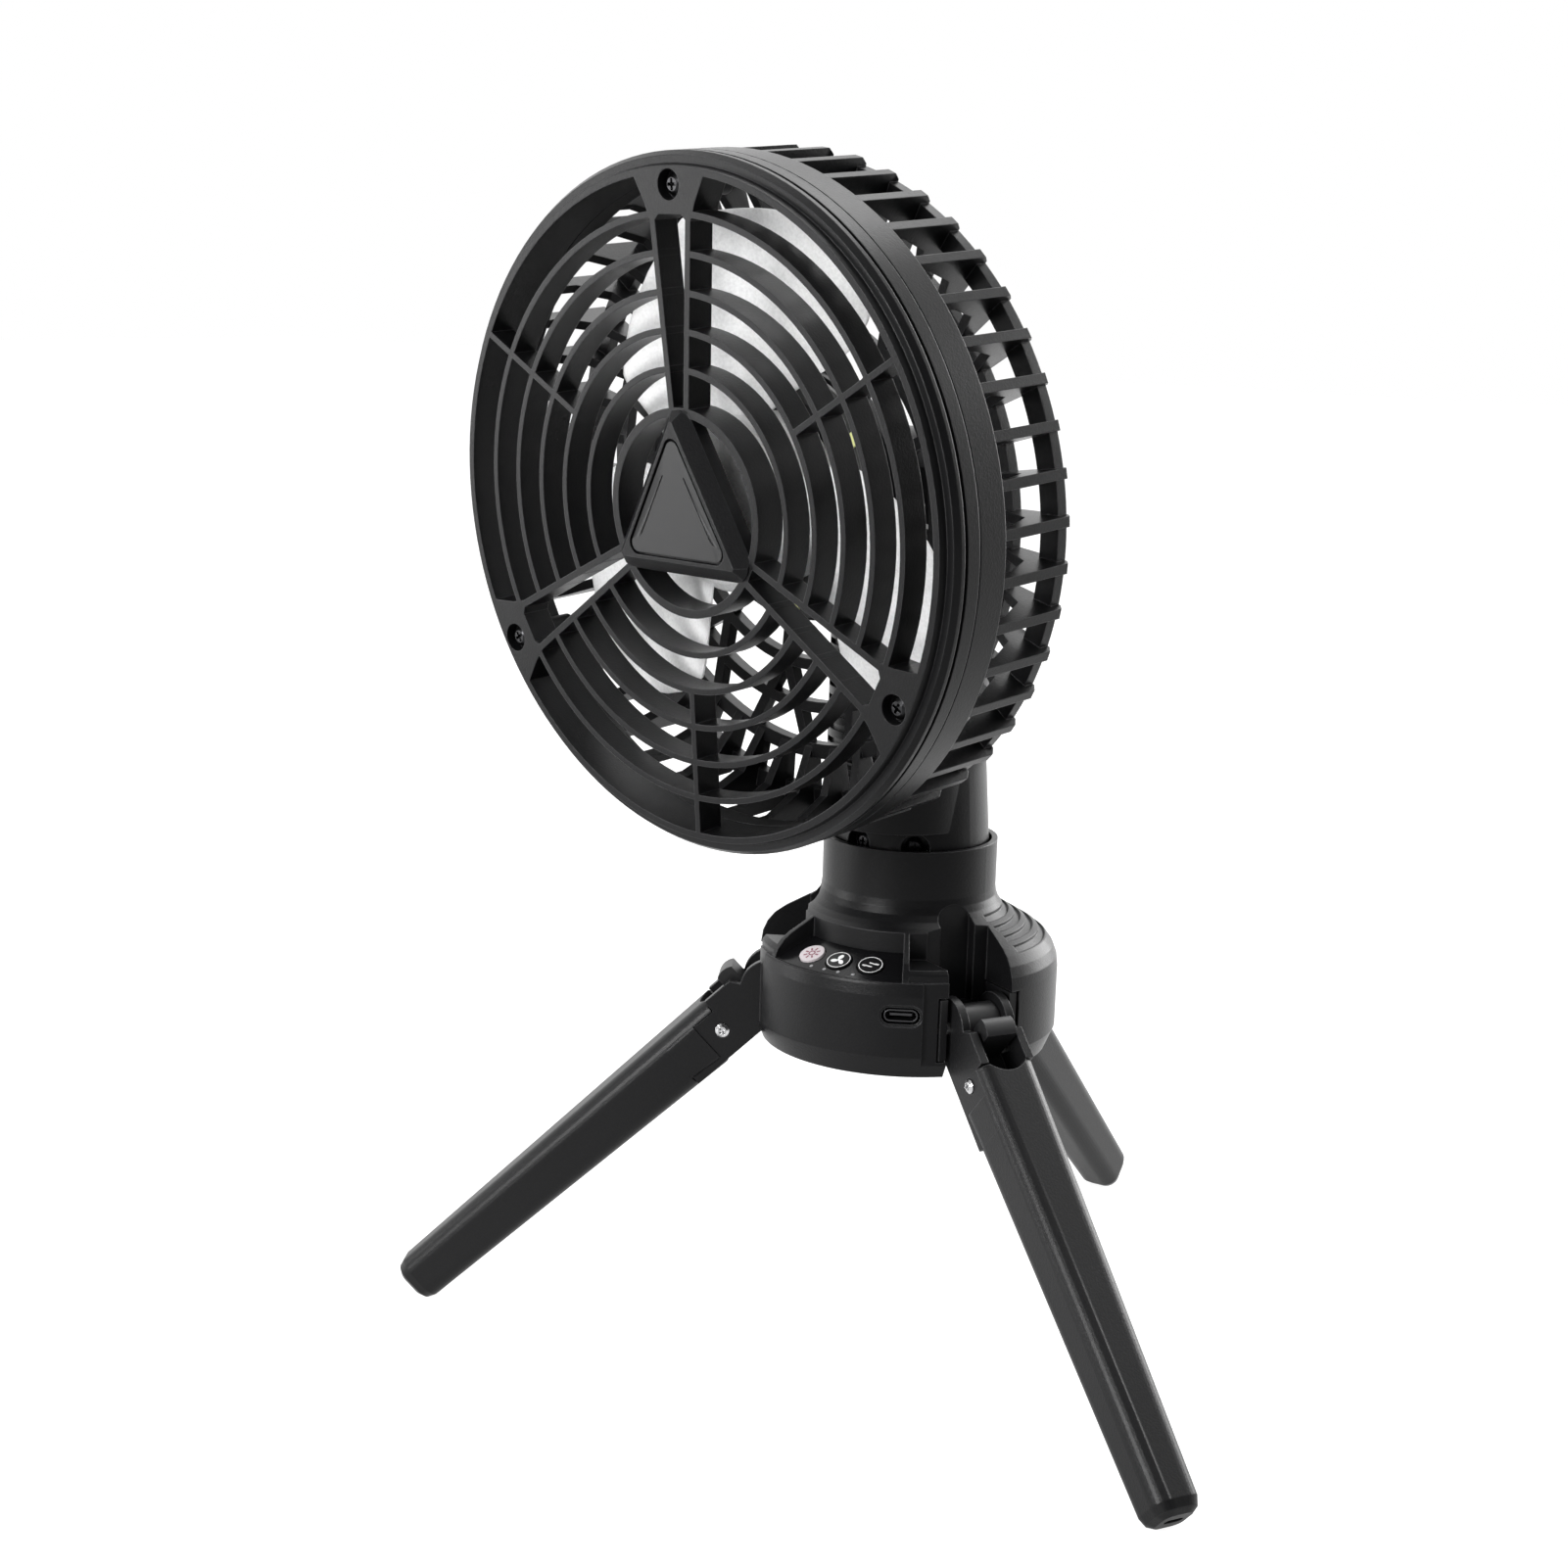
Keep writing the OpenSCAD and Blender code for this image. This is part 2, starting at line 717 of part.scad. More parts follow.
// ---------------------------------------------------------------- rear housing and tilt arm
module rear_housing() {
    seat_z = cage_back - housing_depth;
    color(charcoal) in_head() difference() {
        union() {
            difference() {
                housing_form(0, cage_back);
                housing_form(housing_wall, cage_back + cut);
            }
            // screw bosses that rise from the cone
            intersection() {
                housing_form(0, cage_back);
                turned(hub_screw_turns) translate([hub_screw_r, 0, 0])
                    column(housing_boss_r, housing_back, cage_back);
            }
        }
        turned(hub_screw_turns) translate([hub_screw_r, 0, 0]) {
            column(hub_screw_head_d / 2 + 0.5, housing_back - cut, seat_z + 0.5);
            column(screw_hole_d / 2, seat_z, cage_back + cut);
        }
    }
}
// drum and cone of the rear housing, set in by a wall
module housing_form(wall, top) {
    cone_h = housing_cone - wall + weld;
    column(housing_r - wall, cage_back - housing_depth, top);
    translate([0, 0, housing_back + wall])
        cylinder(r1 = housing_neck_r - wall, r2 = housing_r - wall, h = cone_h);
}
module housing_screws() {
    seat_z = cage_back - housing_depth + 0.5;
    color(steel) in_head() turned(hub_screw_turns) translate([hub_screw_r, 0, seat_z])
        rotate([180, 0, 0]) pan_screw(hub_screw_head_d, screw_d, hub_screw_len);
}
module tilt_arm() {
    back = -head_reach;
    color(charcoal) in_head() difference() {
        union() {
            translate([-arm_half, 0, back]) rotate([0, 90, 0]) cylinder(r = barrel_r, h = 2 * arm_half);
            translate([-arm_half, -arm_h, back]) cube([2 * arm_half, 2 * arm_h, housing_back - back]);
            column(housing_neck_r - 0.5, housing_back - 2, housing_back);
        }
        translate([-arm_half - cut, 0, back]) rotate([0, 90, 0])
            cylinder(d = tilt_pin_d + 2 * run_gap, h = 2 * (arm_half + cut));
        // shallow pockets on both flanks
        for (m = [0, 1]) mirror([m, 0, 0])
            translate([arm_half - 2.5, -5.5, back + barrel_r + 1]) cube([5, 11, 6]);
    }
}

// ---------------------------------------------------------------- rotor
// angle of the front edge of a blade at radius r, seen from the front
function front_edge(r) = blade_from + blade_sweep
    - (r < blade_knee ? 0 : front_cut * pow((r - blade_knee) / (blade_tip - blade_knee), 1.15));
// angle of the rear edge of a blade at radius r
function rear_edge(r) = blade_from
    + (r < rear_knee ? root_cut * pow((rear_knee - r) / (rear_knee - blade_root), 2)
                     : tip_cut * pow((r - rear_knee) / (blade_tip - rear_knee), 3));
// one point of a blade at radius r and chord share u, on its front side (1) or its rear side (-1)
function blade_point(r, u, side) = let (
    angle = rear_edge(r) + u * (front_edge(r) - rear_edge(r)),
    thick = blade_thick * (0.35 + 0.65 * sqrt(max(0, 1 - pow(2 * u - 1, 2)))),
    lift = blade_depth * (angle - blade_from) / blade_sweep)
    [r * cos(angle), r * sin(angle), lift - blade_front - blade_depth + side * thick / 2];
// closed blade: rings of points round each section, from the root to the tip
module one_blade() {
    span = blade_tip - blade_root;
    count = 2 * (blade_steps + 1);
    points = [for (i = [0 : blade_rings], j = [0 : count - 1]) let (r = blade_root + span * i / blade_rings)
        j <= blade_steps ? blade_point(r, j / blade_steps, 1)
                         : blade_point(r, (count - 1 - j) / blade_steps, -1)];
    sides = [for (i = [0 : blade_rings - 1], j = [0 : count - 1])
        let (k = (j + 1) % count, p = i * count, q = p + count)
        each [[p + j, p + k, q + k], [p + j, q + k, q + j]]];
    root = [for (j = [0 : blade_steps - 1]) let (k = count - 1 - j)
        each [[j, k, k - 1], [j, k - 1, j + 1]]];
    last = blade_rings * count;
    tip = [for (f = root) [last + f[0], last + f[2], last + f[1]]];
    polyhedron(points = points, faces = concat(sides, root, tip), convexity = 6);
}
module fan_blades() {
    hub_r = blade_hub_d / 2;
    shoulder = 1 - blade_front - hub_bevel;
    color(frost) in_head() {
        turned([for (k = [0 : blade_count - 1]) k * 360 / blade_count]) one_blade();
        difference() {
            union() {
                column(hub_r, can_skirt, shoulder);
                translate([0, 0, shoulder - weld])
                    cylinder(r1 = hub_r, r2 = hub_r - hub_bevel, h = hub_bevel);
            }
            column(can_r, can_skirt - cut, can_floor);
            column(shaft_d / 2, can_floor - cut, cut);
        }
    }
}
module rotor_can() {
    color(steel) in_head() difference() {
        column(can_r, can_skirt, can_floor);
        column(can_r - can_wall, can_skirt - cut, can_floor - can_top);
        column(shaft_d / 2, can_skirt - cut, can_floor + cut);
    }
}
module motor_shaft() {
    color(steel) in_head() column(shaft_d / 2, motor_plate_z, shaft_out - blade_front);
}
module shaft_nut() {
    color(frost) in_head() translate([0, 0, nut_base - blade_front - weld]) difference() {
        union() {
            cylinder(r = nut_flange_r, h = nut_flange_h);
            translate([0, 0, nut_flange_h]) cylinder(r = nut_r, h = nut_h, $fn = 6);
        }
        column(shaft_d / 2, -cut, nut_flange_h + nut_h + cut);
    }
}

// ---------------------------------------------------------------- neck
module neck_outline(grow) {
    top = pivot_h + dome_top;
    foot = neck_foot_r - grow;
    column_r = neck_r - grow;
    rotate_extrude() polygon([[0, neck_bottom], [foot, neck_bottom], [foot, collar_h],
                              [column_r, neck_taper_z], [column_r, top], [0, top]]);
    translate([0, -bulge_shift, 0]) rotate_extrude() polygon([
        [0, bulge_z0 + grow], [column_r, bulge_z0 + grow], [column_r, bulge_z1 - grow - bulge_bevel[1]],
        [column_r - bulge_bevel[0], bulge_z1 - grow], [0, bulge_z1 - grow]]);
}
// radial screw hole of the neck foot
module in_foot_hole(x) {
    turned(foot_turns) translate([x, 0, foot_hole_z]) rotate([0, 90, 0]) children();
}
module neck_shell() {
    dome_z = pivot_h + dome_top - dome_r;
    color(charcoal) in_neck() difference() {
        intersection() {
            neck_outline(0);
            union() {
                translate([0, 0, dome_z]) sphere(r = dome_r);
                translate([-far / 2, -far / 2, neck_bottom]) cube([far, far, dome_z - neck_bottom]);
            }
        }
        // battery room, with the screw bosses of the foot left standing in it
        difference() {
            intersection() {
                neck_outline(neck_wall);
                translate([-far / 2, -far / 2, neck_bottom - cut])
                    cube([far, far, room_top - neck_bottom + cut]);
            }
            in_foot_hole(foot_boss_in) cylinder(r = foot_boss_r, h = far);
        }
        // fork slot for the tilt arm
        translate([-slot_half, -far / 2, slot_floor]) cube([2 * slot_half, far / 2 + slot_back, far]);
        translate([0, 0, pivot_h]) rotate([0, 90, 0]) cylinder(d = tilt_pin_d, h = far, center = true);
        // grip ridges between grooves across the front of the bulge
        for (z = [ridge_z0 : ridge_pitch : ridge_z1]) translate([0, -bulge_shift, z]) intersection() {
            difference() {
                cylinder(r = neck_r + cut, h = ridge_h);
                translate([0, 0, -cut]) cylinder(r = neck_r - ridge_cut, h = ridge_h + 2 * cut);
            }
            translate([-ridge_half, -far / 2, -cut])
                cube([2 * ridge_half, far / 2 - bulge_shift, ridge_h + 2 * cut]);
        }
        in_foot_hole(foot_boss_in + foot_web) cylinder(d = foot_hole_d, h = far);
        in_foot_hole(foot_boss_in - cut) cylinder(d = screw_hole_d, h = far);
    }
}
// turntable that closes the neck foot and carries the driven socket
module neck_foot() {
    floor_z = neck_bottom + 1;
    lug_top = foot_hole_z + 3;
    ring_top = foot_hole_z - foot_boss_r - 0.5;
    color(black) in_neck() difference() {
        union() {
            column(foot_r, floor_z, floor_z + foot_t);
            translate([0, 0, floor_z]) ring(foot_r, foot_r - foot_wall, ring_top - floor_z);
            turned(foot_turns) translate([foot_boss_in - lug_d - 0.1, -lug_w / 2, floor_z])
                cube([lug_d, lug_w, lug_top - floor_z]);
            column(drive_r, deck_z, floor_z + weld);
        }
        column(drive_shaft_r, deck_z - cut, floor_z + foot_t + cut);
        in_foot_hole(foot_boss_in - lug_d - cut) cylinder(d = screw_d, h = lug_d + 2 * cut);
    }
}
module foot_screws() {
    color(black) in_neck() in_foot_hole(foot_boss_in + foot_web)
        pan_screw(foot_screw_d, screw_d, foot_screw_len);
}
module tilt_pin() {
    pin_half = neck_r * 0.5 + arm_half / 2 + pin_stick;
    color(steel) in_neck() translate([0, 0, pivot_h]) rotate([0, 90, 0])
        cylinder(d = tilt_pin_d, h = 2 * pin_half, center = true);
}
// centres of the three cells
cell_side = (cell_d + cell_gap) / 2;
function cell_spots() = [[cell_side, pair_y], [-cell_side, pair_y], [0, front_cell_y]];
module battery_cells() {
    tip_h = 1.5;
    color([0.2, 0.35, 0.55]) in_neck() for (p = cell_spots()) translate([p[0], p[1], cell_z]) {
        cylinder(d = cell_d, h = cell_len - tip_h);
        translate([0, 0, cell_len - tip_h - weld]) cylinder(d = cell_d / 3, h = tip_h);
    }
}
// end plates that hold the cells
module battery_holder() {
    color(black) in_neck() for (z = [cell_z - holder_t, cell_z + cell_len - weld]) translate([0, 0, z]) {
        for (p = cell_spots()) translate([p[0], p[1], 0]) cylinder(r = cell_d / 2 - 1.3, h = holder_t);
        translate([-8, -12, 0]) cube([16, 14, holder_t]);
    }
}
module swing_shaft() {
    color(steel) column(drive_shaft_r, deck_z - 4.5, neck_bottom + 3.5);
}

// ---------------------------------------------------------------- base housing
module base_outline() {
    rotate_extrude() polygon(concat([[0, 0]], base_side(0), [[collar_r, collar_h], [0, collar_h]]));
}
// inside of the housing, open at the bottom
module base_room() {
    side = base_side(base_wall);
    rotate_extrude() polygon(concat([[0, -cut], [side[0][0], -cut]], side,
                                    [[collar_r - base_wall, collar_h + cut], [0, collar_h + cut]]));
}
// bay for a folded leg along +x, grown by a wall
module niche_cut(grow) {
    bay = niche_half + grow;
    seat = ear_seat + grow;
    groove = groove_half + grow;
    seat_z = ear_bottom - ear_slit - grow;
    translate([niche_back - grow, -bay, -cut]) cube([far, 2 * bay, far]);
    translate([niche_back - grow, -seat, seat_z])
        cube([far, 2 * seat, ear_top + ear_slit + grow - seat_z]);
    translate([block_back - grow, -seat, seat_z])
        cube([far, 2 * seat, block_top + seat_gap + grow - seat_z]);
    // groove for the latch, arched where it meets the collar
    translate([groove_back - grow, -groove, block_top])
        cube([far, 2 * groove, arch_h - groove_half - block_top]);
    translate([groove_back - grow, 0, arch_h - groove_half]) rotate([0, 90, 0]) cylinder(r = groove, h = far);
}
// region between two angles on both sides of the panel centre
module beside_panel(from, to) {
    for (m = [0, 1]) mirror([m, 0, 0]) rotate([0, 0, (from + to) / 2 - 90]) wedge((to - from) / 2);
}
// everything above the sloped panel, between the two fins
module panel_recess() {
    intersection() {
        rotate_extrude() polygon([[recess_in, panel_z(recess_in)], [panel_out, panel_h],
                                  [panel_out, far], [recess_in, far]]);
        rotate([0, 0, -90]) wedge(panel_half);
    }
}
// everything above the two ledges that flank the panel
module ledge_cut() {
    intersection() {
        rotate_extrude() polygon([[recess_in, ledge_h], [ledge_out - 1, ledge_h],
                                  [ledge_out - 0.3, ledge_h - 0.3], [ledge_out, ledge_h - 1],
                                  [ledge_out, pod_rim_h], [base_r + cut, pod_rim_h],
                                  [base_r + cut, far], [recess_in, far]]);
        beside_panel(fin_half, strip_half);
    }
}
// everything above the rim of the control pod
module pod_rim_cut() {
    intersection() {
        translate([0, 0, pod_rim_h]) ring(base_r + cut, panel_out, far);
        rotate([0, 0, -90]) wedge(pod_half);
    }
}
// setback of the wall between the pod and each leg bay
module strip_cut() {
    intersection() {
        translate([0, 0, strip_bottom]) ring(base_r + cut, base_r - strip_step, far);
        beside_panel(pod_half, strip_half);
    }
}
// solid floors under the panel and the ledges
module pod_floor() {
    inner = recess_in - base_wall;
    intersection() {
        rotate_extrude() polygon([[inner, panel_z(inner) - panel_floor_t],
                                  [base_r, panel_z(base_r) - panel_floor_t], [base_r, far], [inner, far]]);
        rotate([0, 0, -90]) wedge(fin_half);
    }
    intersection() {
        translate([0, 0, ledge_h - base_wall]) ring(base_r, inner, far);
        beside_panel(panel_half, strip_half);
    }
}
// curved grooves on the shoulders of the two plain lobes
module vent_grooves() {
    for (lobe = [30, 150], k = [0 : vent_count - 1]) intersection() {
        near = vent_first + k * vent_step - vent_w / 2;
        away = near + vent_w;
        rotate_extrude() polygon([
            [near, shoulder_z(near) - vent_depth], [away, shoulder_z(away) - vent_depth],
            [away, far], [near, far]]);
        rotate([0, 0, lobe]) wedge(vent_half);
    }
}
module in_socket(r) {
    rotate([0, 0, socket_turn]) translate([r, 0, socket_z]) rotate([0, 90, 0]) children();
}
module base_housing() {
    color(charcoal) difference() {
        base_outline();
        difference() {
            base_room();
            turned(leg_angles) niche_cut(base_wall - 0.4);
            pod_floor();
            column(base_r, deck_z, deck_z + deck_t);
        }
        turned(leg_angles) niche_cut(0);
        panel_recess();
        ledge_cut();
        pod_rim_cut();
        strip_cut();
        vent_grooves();
        // room for the turning neck foot and seat of the bush
        column(collar_in, deck_z + deck_t, collar_h + cut);
        column(drive_r + 2, deck_z - cut, deck_z + deck_t + cut);
        // button wells and light windows
        for (k = [-1 : 1]) on_panel(button_r, k * button_step) column(well_d / 2, -12, 8);
        for (k = [-1.5 : 1.5]) on_panel(light_r, k * light_step) column(light_hole_d / 2, -8, 2);
        // socket opening with a shallow rim
        in_socket(base_r - 6) slot_solid(socket_hole, 12);
        in_socket(base_r - socket_rim_depth) slot_solid(socket_rim, 6);
    }
    // posts that carry the control board
    color(charcoal) for (x = [-board_post_x, board_post_x]) on_panel(board_post_r, 0)
        translate([0, x, -board_drop]) cylinder(d = board_post_d, h = board_drop - 2.6);
    // screw posts for the bottom cover, each tied to the wall by a rib
    color(charcoal) turned(post_turns) difference() {
        union() {
            translate([post_r, 0, cover_t]) cylinder(d = post_d, h = post_h);
            translate([post_r, -post_rib / 2, cover_t])
                cube([base_r - base_wall - post_r + 0.6, post_rib, post_h]);
        }
        translate([post_r, 0, 0]) cylinder(d = cover_screw_d, h = cover_t + post_h - 1.4);
    }
}
module bottom_cover() {
    notch = niche_half + base_wall;
    motor_seat = motor_can_r + seat_gap;
    color(charcoal) difference() {
        union() {
            cylinder(r = base_r - chamfer_w - base_wall - seat_gap, h = cover_t);
            translate([0, 0, cover_t - weld]) ring(motor_seat + 1.6, motor_seat, 3);
        }
        turned(leg_angles) translate([niche_back - base_wall, -notch, -cut]) cube([far, 2 * notch, far]);
        turned(post_turns) translate([post_r, 0, -cut]) {
            cylinder(d = cover_screw_d + pass_gap, h = far);
            cylinder(d = cover_head_d + 0.8, h = cut + cover_sink);
        }
    }
}
module cover_screws() {
    color(steel) turned(post_turns) translate([post_r, 0, cover_sink]) rotate([180, 0, 0])
        pan_screw(cover_head_d, cover_screw_d, cover_screw_len);
}
// gear motor that swings the neck
module swing_motor() {
    color([0.75, 0.75, 0.72]) difference() {
        union() {
            column(motor_can_r, cover_t, motor_can_top);
            column(gear_can_r, motor_can_top - weld, deck_z - 5);
        }
        column(drive_shaft_r + run_gap, motor_can_top - 2, deck_z);
    }
}
// plain bush in the deck that the neck foot turns in
module swing_bush() {
    color([0.85, 0.84, 0.8]) translate([0, 0, deck_z]) ring(drive_r + 2, drive_r + run_gap, deck_t);
}

// ---------------------------------------------------------------- control panel
module control_panel() {
    inner = recess_in + seat_gap;
    outer = panel_out - seat_gap;
    color(black) difference() {
        intersection() {
            panel_recess();
            rotate_extrude() polygon([[inner, panel_z(inner) - 5], [inner, panel_z(inner) + panel_t],
                                      [outer, panel_z(outer) + panel_t], [outer, panel_z(outer) - 5]]);
        }
        for (k = [-1 : 1]) on_panel(button_r, k * button_step) column(well_d / 2, -5, 15);
        for (k = [-1.5 : 1.5]) on_panel(light_r, k * light_step) column(light_hole_d / 2, -8, 4);
    }
}
module level_lights() {
    color([0.5, 0.5, 0.52]) for (k = [-1.5 : 1.5]) on_panel(light_r, k * light_step)
        column(light_d / 2, 0.6 - board_drop, panel_t);
}
module control_board() {
    color(pcb_green) intersection() {
        on_panel(board_r, 0) translate([-board_w / 2, -board_len / 2, -board_drop - board_t])
            cube([board_w, board_len, board_t]);
        cylinder(r = base_r - base_wall - seat_gap, h = deck_z);
    }
    // one push switch below each button
    color(pcb_green) for (k = [-1 : 1]) on_panel(button_r, k * button_step)
        translate([-switch_w / 2, -switch_w / 2, -board_drop - 0.6])
            cube([switch_w, switch_w, board_drop + 0.6 - stem_end - button_travel - pass_gap]);
}
module usb_socket() {
    inner = [socket_shell[0] - 2 * socket_wall, socket_shell[1] - 2 * socket_wall];
    color(steel) in_socket(base_r - socket_len - 1) difference() {
        slot_solid(socket_shell, socket_len);
        translate([0, 0, 1]) slot_solid(inner, socket_len);
    }
    color(black) in_socket(base_r - socket_len - 0.2)
        translate([-tongue[2] / 2, -tongue[1] / 2, 0]) cube([tongue[2], tongue[1], tongue[0]]);
}
// button cap with its stem, k steps from the panel centre
module button_body(k) {
    on_panel(button_r, k * button_step) {
        column(button_d / 2, -button_deep, button_rise);
        column(stem_d / 2, -stem_end, 0.5 - button_deep);
    }
}
module button_light() { color([0.93, 0.88, 0.88]) button_body(-1); }
module button_fan() { color(black) button_body(0); }
module button_swing() { color(black) button_body(1); }

// ---------------------------------------------------------------- leg hinges
module hinge_block() {
    plate_x = block_back + 0.1;
    difference() {
        union() {
            translate([plate_x, -ear_out, ear_bottom])
                cube([block_plate, 2 * ear_out, block_top - ear_bottom]);
            both_sides() {
                translate([plate_x, niche_half, ear_bottom])
                    cube([ear_face - plate_x, ear_t, block_top - ear_bottom]);
                translate([niche_back + 0.1, niche_half, ear_bottom])
                    cube([ear_face - niche_back - 0.1, ear_t, ear_top - ear_bottom]);
            }
            translate([plate_x, -knuckle_half, hinge_h - knuckle_low])
                cube([hinge_r - plate_x, 2 * knuckle_half, block_top - hinge_h + knuckle_low]);
            translate([hinge_r, 0, hinge_h]) rotate([90, 0, 0])
                cylinder(r = knuckle_r, h = 2 * knuckle_half, center = true);
        }
        translate([hinge_r, 0, hinge_h]) cross_bore(pin_d / 2);
    }
}
module hinge_blocks() { color(black) turned(leg_angles) hinge_block(); }
module hinge_pins() {
    color(steel) turned(leg_angles) translate([hinge_r, 0, hinge_h]) rotate([90, 0, 0])
        cylinder(d = pin_d, h = 2 * (ear_out - 0.2), center = true);
}

// ---------------------------------------------------------------- legs
// thin rounded section across a leg at s
module section(s, w, h, mid, corner) {
    translate([s, 0, mid]) rotate([0, 90, 0]) for (i = [-1, 1], j = [-1, 1])
        translate([i * (h / 2 - corner), j * (w / 2 - corner), 0]) cylinder(r = corner, h = 0.4, $fn = 32);
}
module leg_shell(angle) {
    color(charcoal) in_leg(angle) difference() {
        hull() {
            section(tube_start, leg_w, leg_h, 0.4, leg_corner);
            section(leg_len - tip_round, tip_w, tip_h, tip_mid, leg_corner);
            section(leg_len - tip_round * 0.4, tip_w - 1.6, tip_h - 1.6, tip_mid, leg_corner - 0.5);
            section(leg_len - 0.4, tip_w - 5, tip_h - 5, tip_mid, leg_corner - 2);
        }
        // room for the bracket, open at the sides and below as far as the skirt end
        translate([0, -cheek_out - 0.1, bracket_floor - 0.2])
            cube([bracket_end + seat_gap, 2 * cheek_out + 0.2, cheek_low + 0.2 - bracket_floor + 0.2]);
        translate([0, -far / 2, -far / 2]) cube([skirt_end, far, far / 2 + cheek_low + 0.2]);
        // curved scoop behind the latch slot
        translate([tube_start + scoop_reach - scoop_r, 0, 0]) cylinder(r = scoop_r, h = far);
        // hollow of the leg beyond the bracket
        translate([bracket_end, -hollow_half, hollow_low])
            cube([hollow_len, 2 * hollow_half, hollow_top - hollow_low]);
        translate([leg_len - 5, 0, tip_mid]) rotate([0, 90, 0]) slot_solid(tip_hole, 8);
    }
}
// one side wall of the bracket, seen from its side
module cheek() {
    step_s = tube_start - seat_gap;
    translate([0, cheek_out, 0]) rotate([90, 0, 0]) linear_extrude(cheek_t) {
        circle(r = cheek_r);
        polygon([[0, bracket_floor], [bracket_end, bracket_floor], [bracket_end, cheek_low],
                 [step_s, cheek_low], [step_s, cheek_top], [cheek_from + cheek_slope, cheek_top],
                 [cheek_from, cheek_top - 2.7], [0, 0]]);
    }
}
module leg_bracket(angle) {
    color(charcoal) in_leg(angle) difference() {
        union() {
            both_sides() cheek();
            translate([9, -cheek_in - weld, bracket_floor])
                cube([bracket_end - 9, 2 * (cheek_in + weld), channel_floor - bracket_floor]);
            translate([slot_end, -cheek_in - weld, bracket_floor])
                cube([bracket_end - slot_end, 2 * (cheek_in + weld), cheek_low - bracket_floor]);
        }
        cross_bore(pin_d / 2 + run_gap);
        rotate([90, 0, 0]) cylinder(r = knuckle_r + pass_gap, h = 2 * cheek_in, center = true);
        translate([leg_screw_s, 0, 0]) cross_bore(leg_shank_d / 2);
        both_sides() translate([leg_screw_s, cheek_out - leg_screw_sink, 0]) rotate([-90, 0, 0])
            cylinder(d = leg_screw_d + 0.4, h = leg_screw_sink + cut);
        translate([catch_s, 0, channel_floor]) {
            column(catch_shank_d / 2, -catch_screw_len, cut);
            column(catch_screw_d / 2 + 0.2, -catch_sink, cut);
        }
    }
}
// side screws that hold the shell, and the catch screw in the floor of the latch slot
module leg_screws(angle) {
    color(steel) in_leg(angle) {
        for (s = [-1, 1]) translate([leg_screw_s, s * (cheek_out - leg_screw_sink), 0])
            rotate([-s * 90, 0, 0]) pan_screw(leg_screw_d, leg_shank_d, leg_screw_len);
        translate([catch_s, 0, channel_floor - catch_sink])
            pan_screw(catch_screw_d, catch_shank_d, catch_screw_len - catch_sink);
    }
}
// sliding catch with a domed top
module leg_latch(angle) {
    low = channel_floor + pass_gap;
    mid = latch_len / 2;
    color(black) in_leg(angle) difference() {
        translate([latch_s, latch_half, 0]) rotate([90, 0, 0]) linear_extrude(2 * latch_half)
            intersection() {
                translate([0, low]) square([latch_len, latch_top - low]);
                union() {
                    translate([mid, latch_top - latch_round]) circle(r = latch_round);
                    translate([0, low]) square([latch_len, latch_top - latch_round - low]);
                }
            }
        cross_bore(knuckle_r + pass_gap);
    }
}
module leg_left() { leg_shell(leg_angles[0]); }
module leg_right() { leg_shell(leg_angles[1]); }
module leg_rear() { leg_shell(leg_angles[2]); }
module leg_bracket_left() { leg_bracket(leg_angles[0]); }
module leg_bracket_right() { leg_bracket(leg_angles[1]); }
module leg_bracket_rear() { leg_bracket(leg_angles[2]); }
module leg_screws_left() { leg_screws(leg_angles[0]); }
module leg_screws_right() { leg_screws(leg_angles[1]); }
module leg_screws_rear() { leg_screws(leg_angles[2]); }
module leg_latch_left() { leg_latch(leg_angles[0]); }
module leg_latch_right() { leg_latch(leg_angles[1]); }
module leg_latch_rear() { leg_latch(leg_angles[2]); }

// ---------------------------------------------------------------- output
front_grille();
hub_badge();
grille_screws();
rear_cage();
motor_plate();
motor_stator();
motor_bearings();
led_board();
led_chips();
rear_housing();
housing_screws();
tilt_arm();
fan_blades();
rotor_can();
motor_shaft();
shaft_nut();
neck_shell();
neck_foot();
foot_screws();
tilt_pin();
battery_cells();
battery_holder();
swing_shaft();
base_housing();
bottom_cover();
cover_screws();
swing_motor();
swing_bush();
control_panel();
level_lights();
control_board();
usb_socket();
hinge_blocks();
hinge_pins();
button_light();
button_fan();
button_swing();
leg_left();
leg_bracket_left();
leg_screws_left();
leg_latch_left();
leg_right();
leg_bracket_right();
leg_screws_right();
leg_latch_right();
leg_rear();
leg_bracket_rear();
leg_screws_rear();
leg_latch_rear();
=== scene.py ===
# Portable camping fan: a grilled head tips on a battery neck, and the neck swings on a round
# control base with three folding legs. The CAD pieces keep their places and shapes and get
# their finishes here, and the ink marks of the control panel are added. Metres, +Z up.
import bpy, bmesh, math
from mathutils import Matrix, Vector


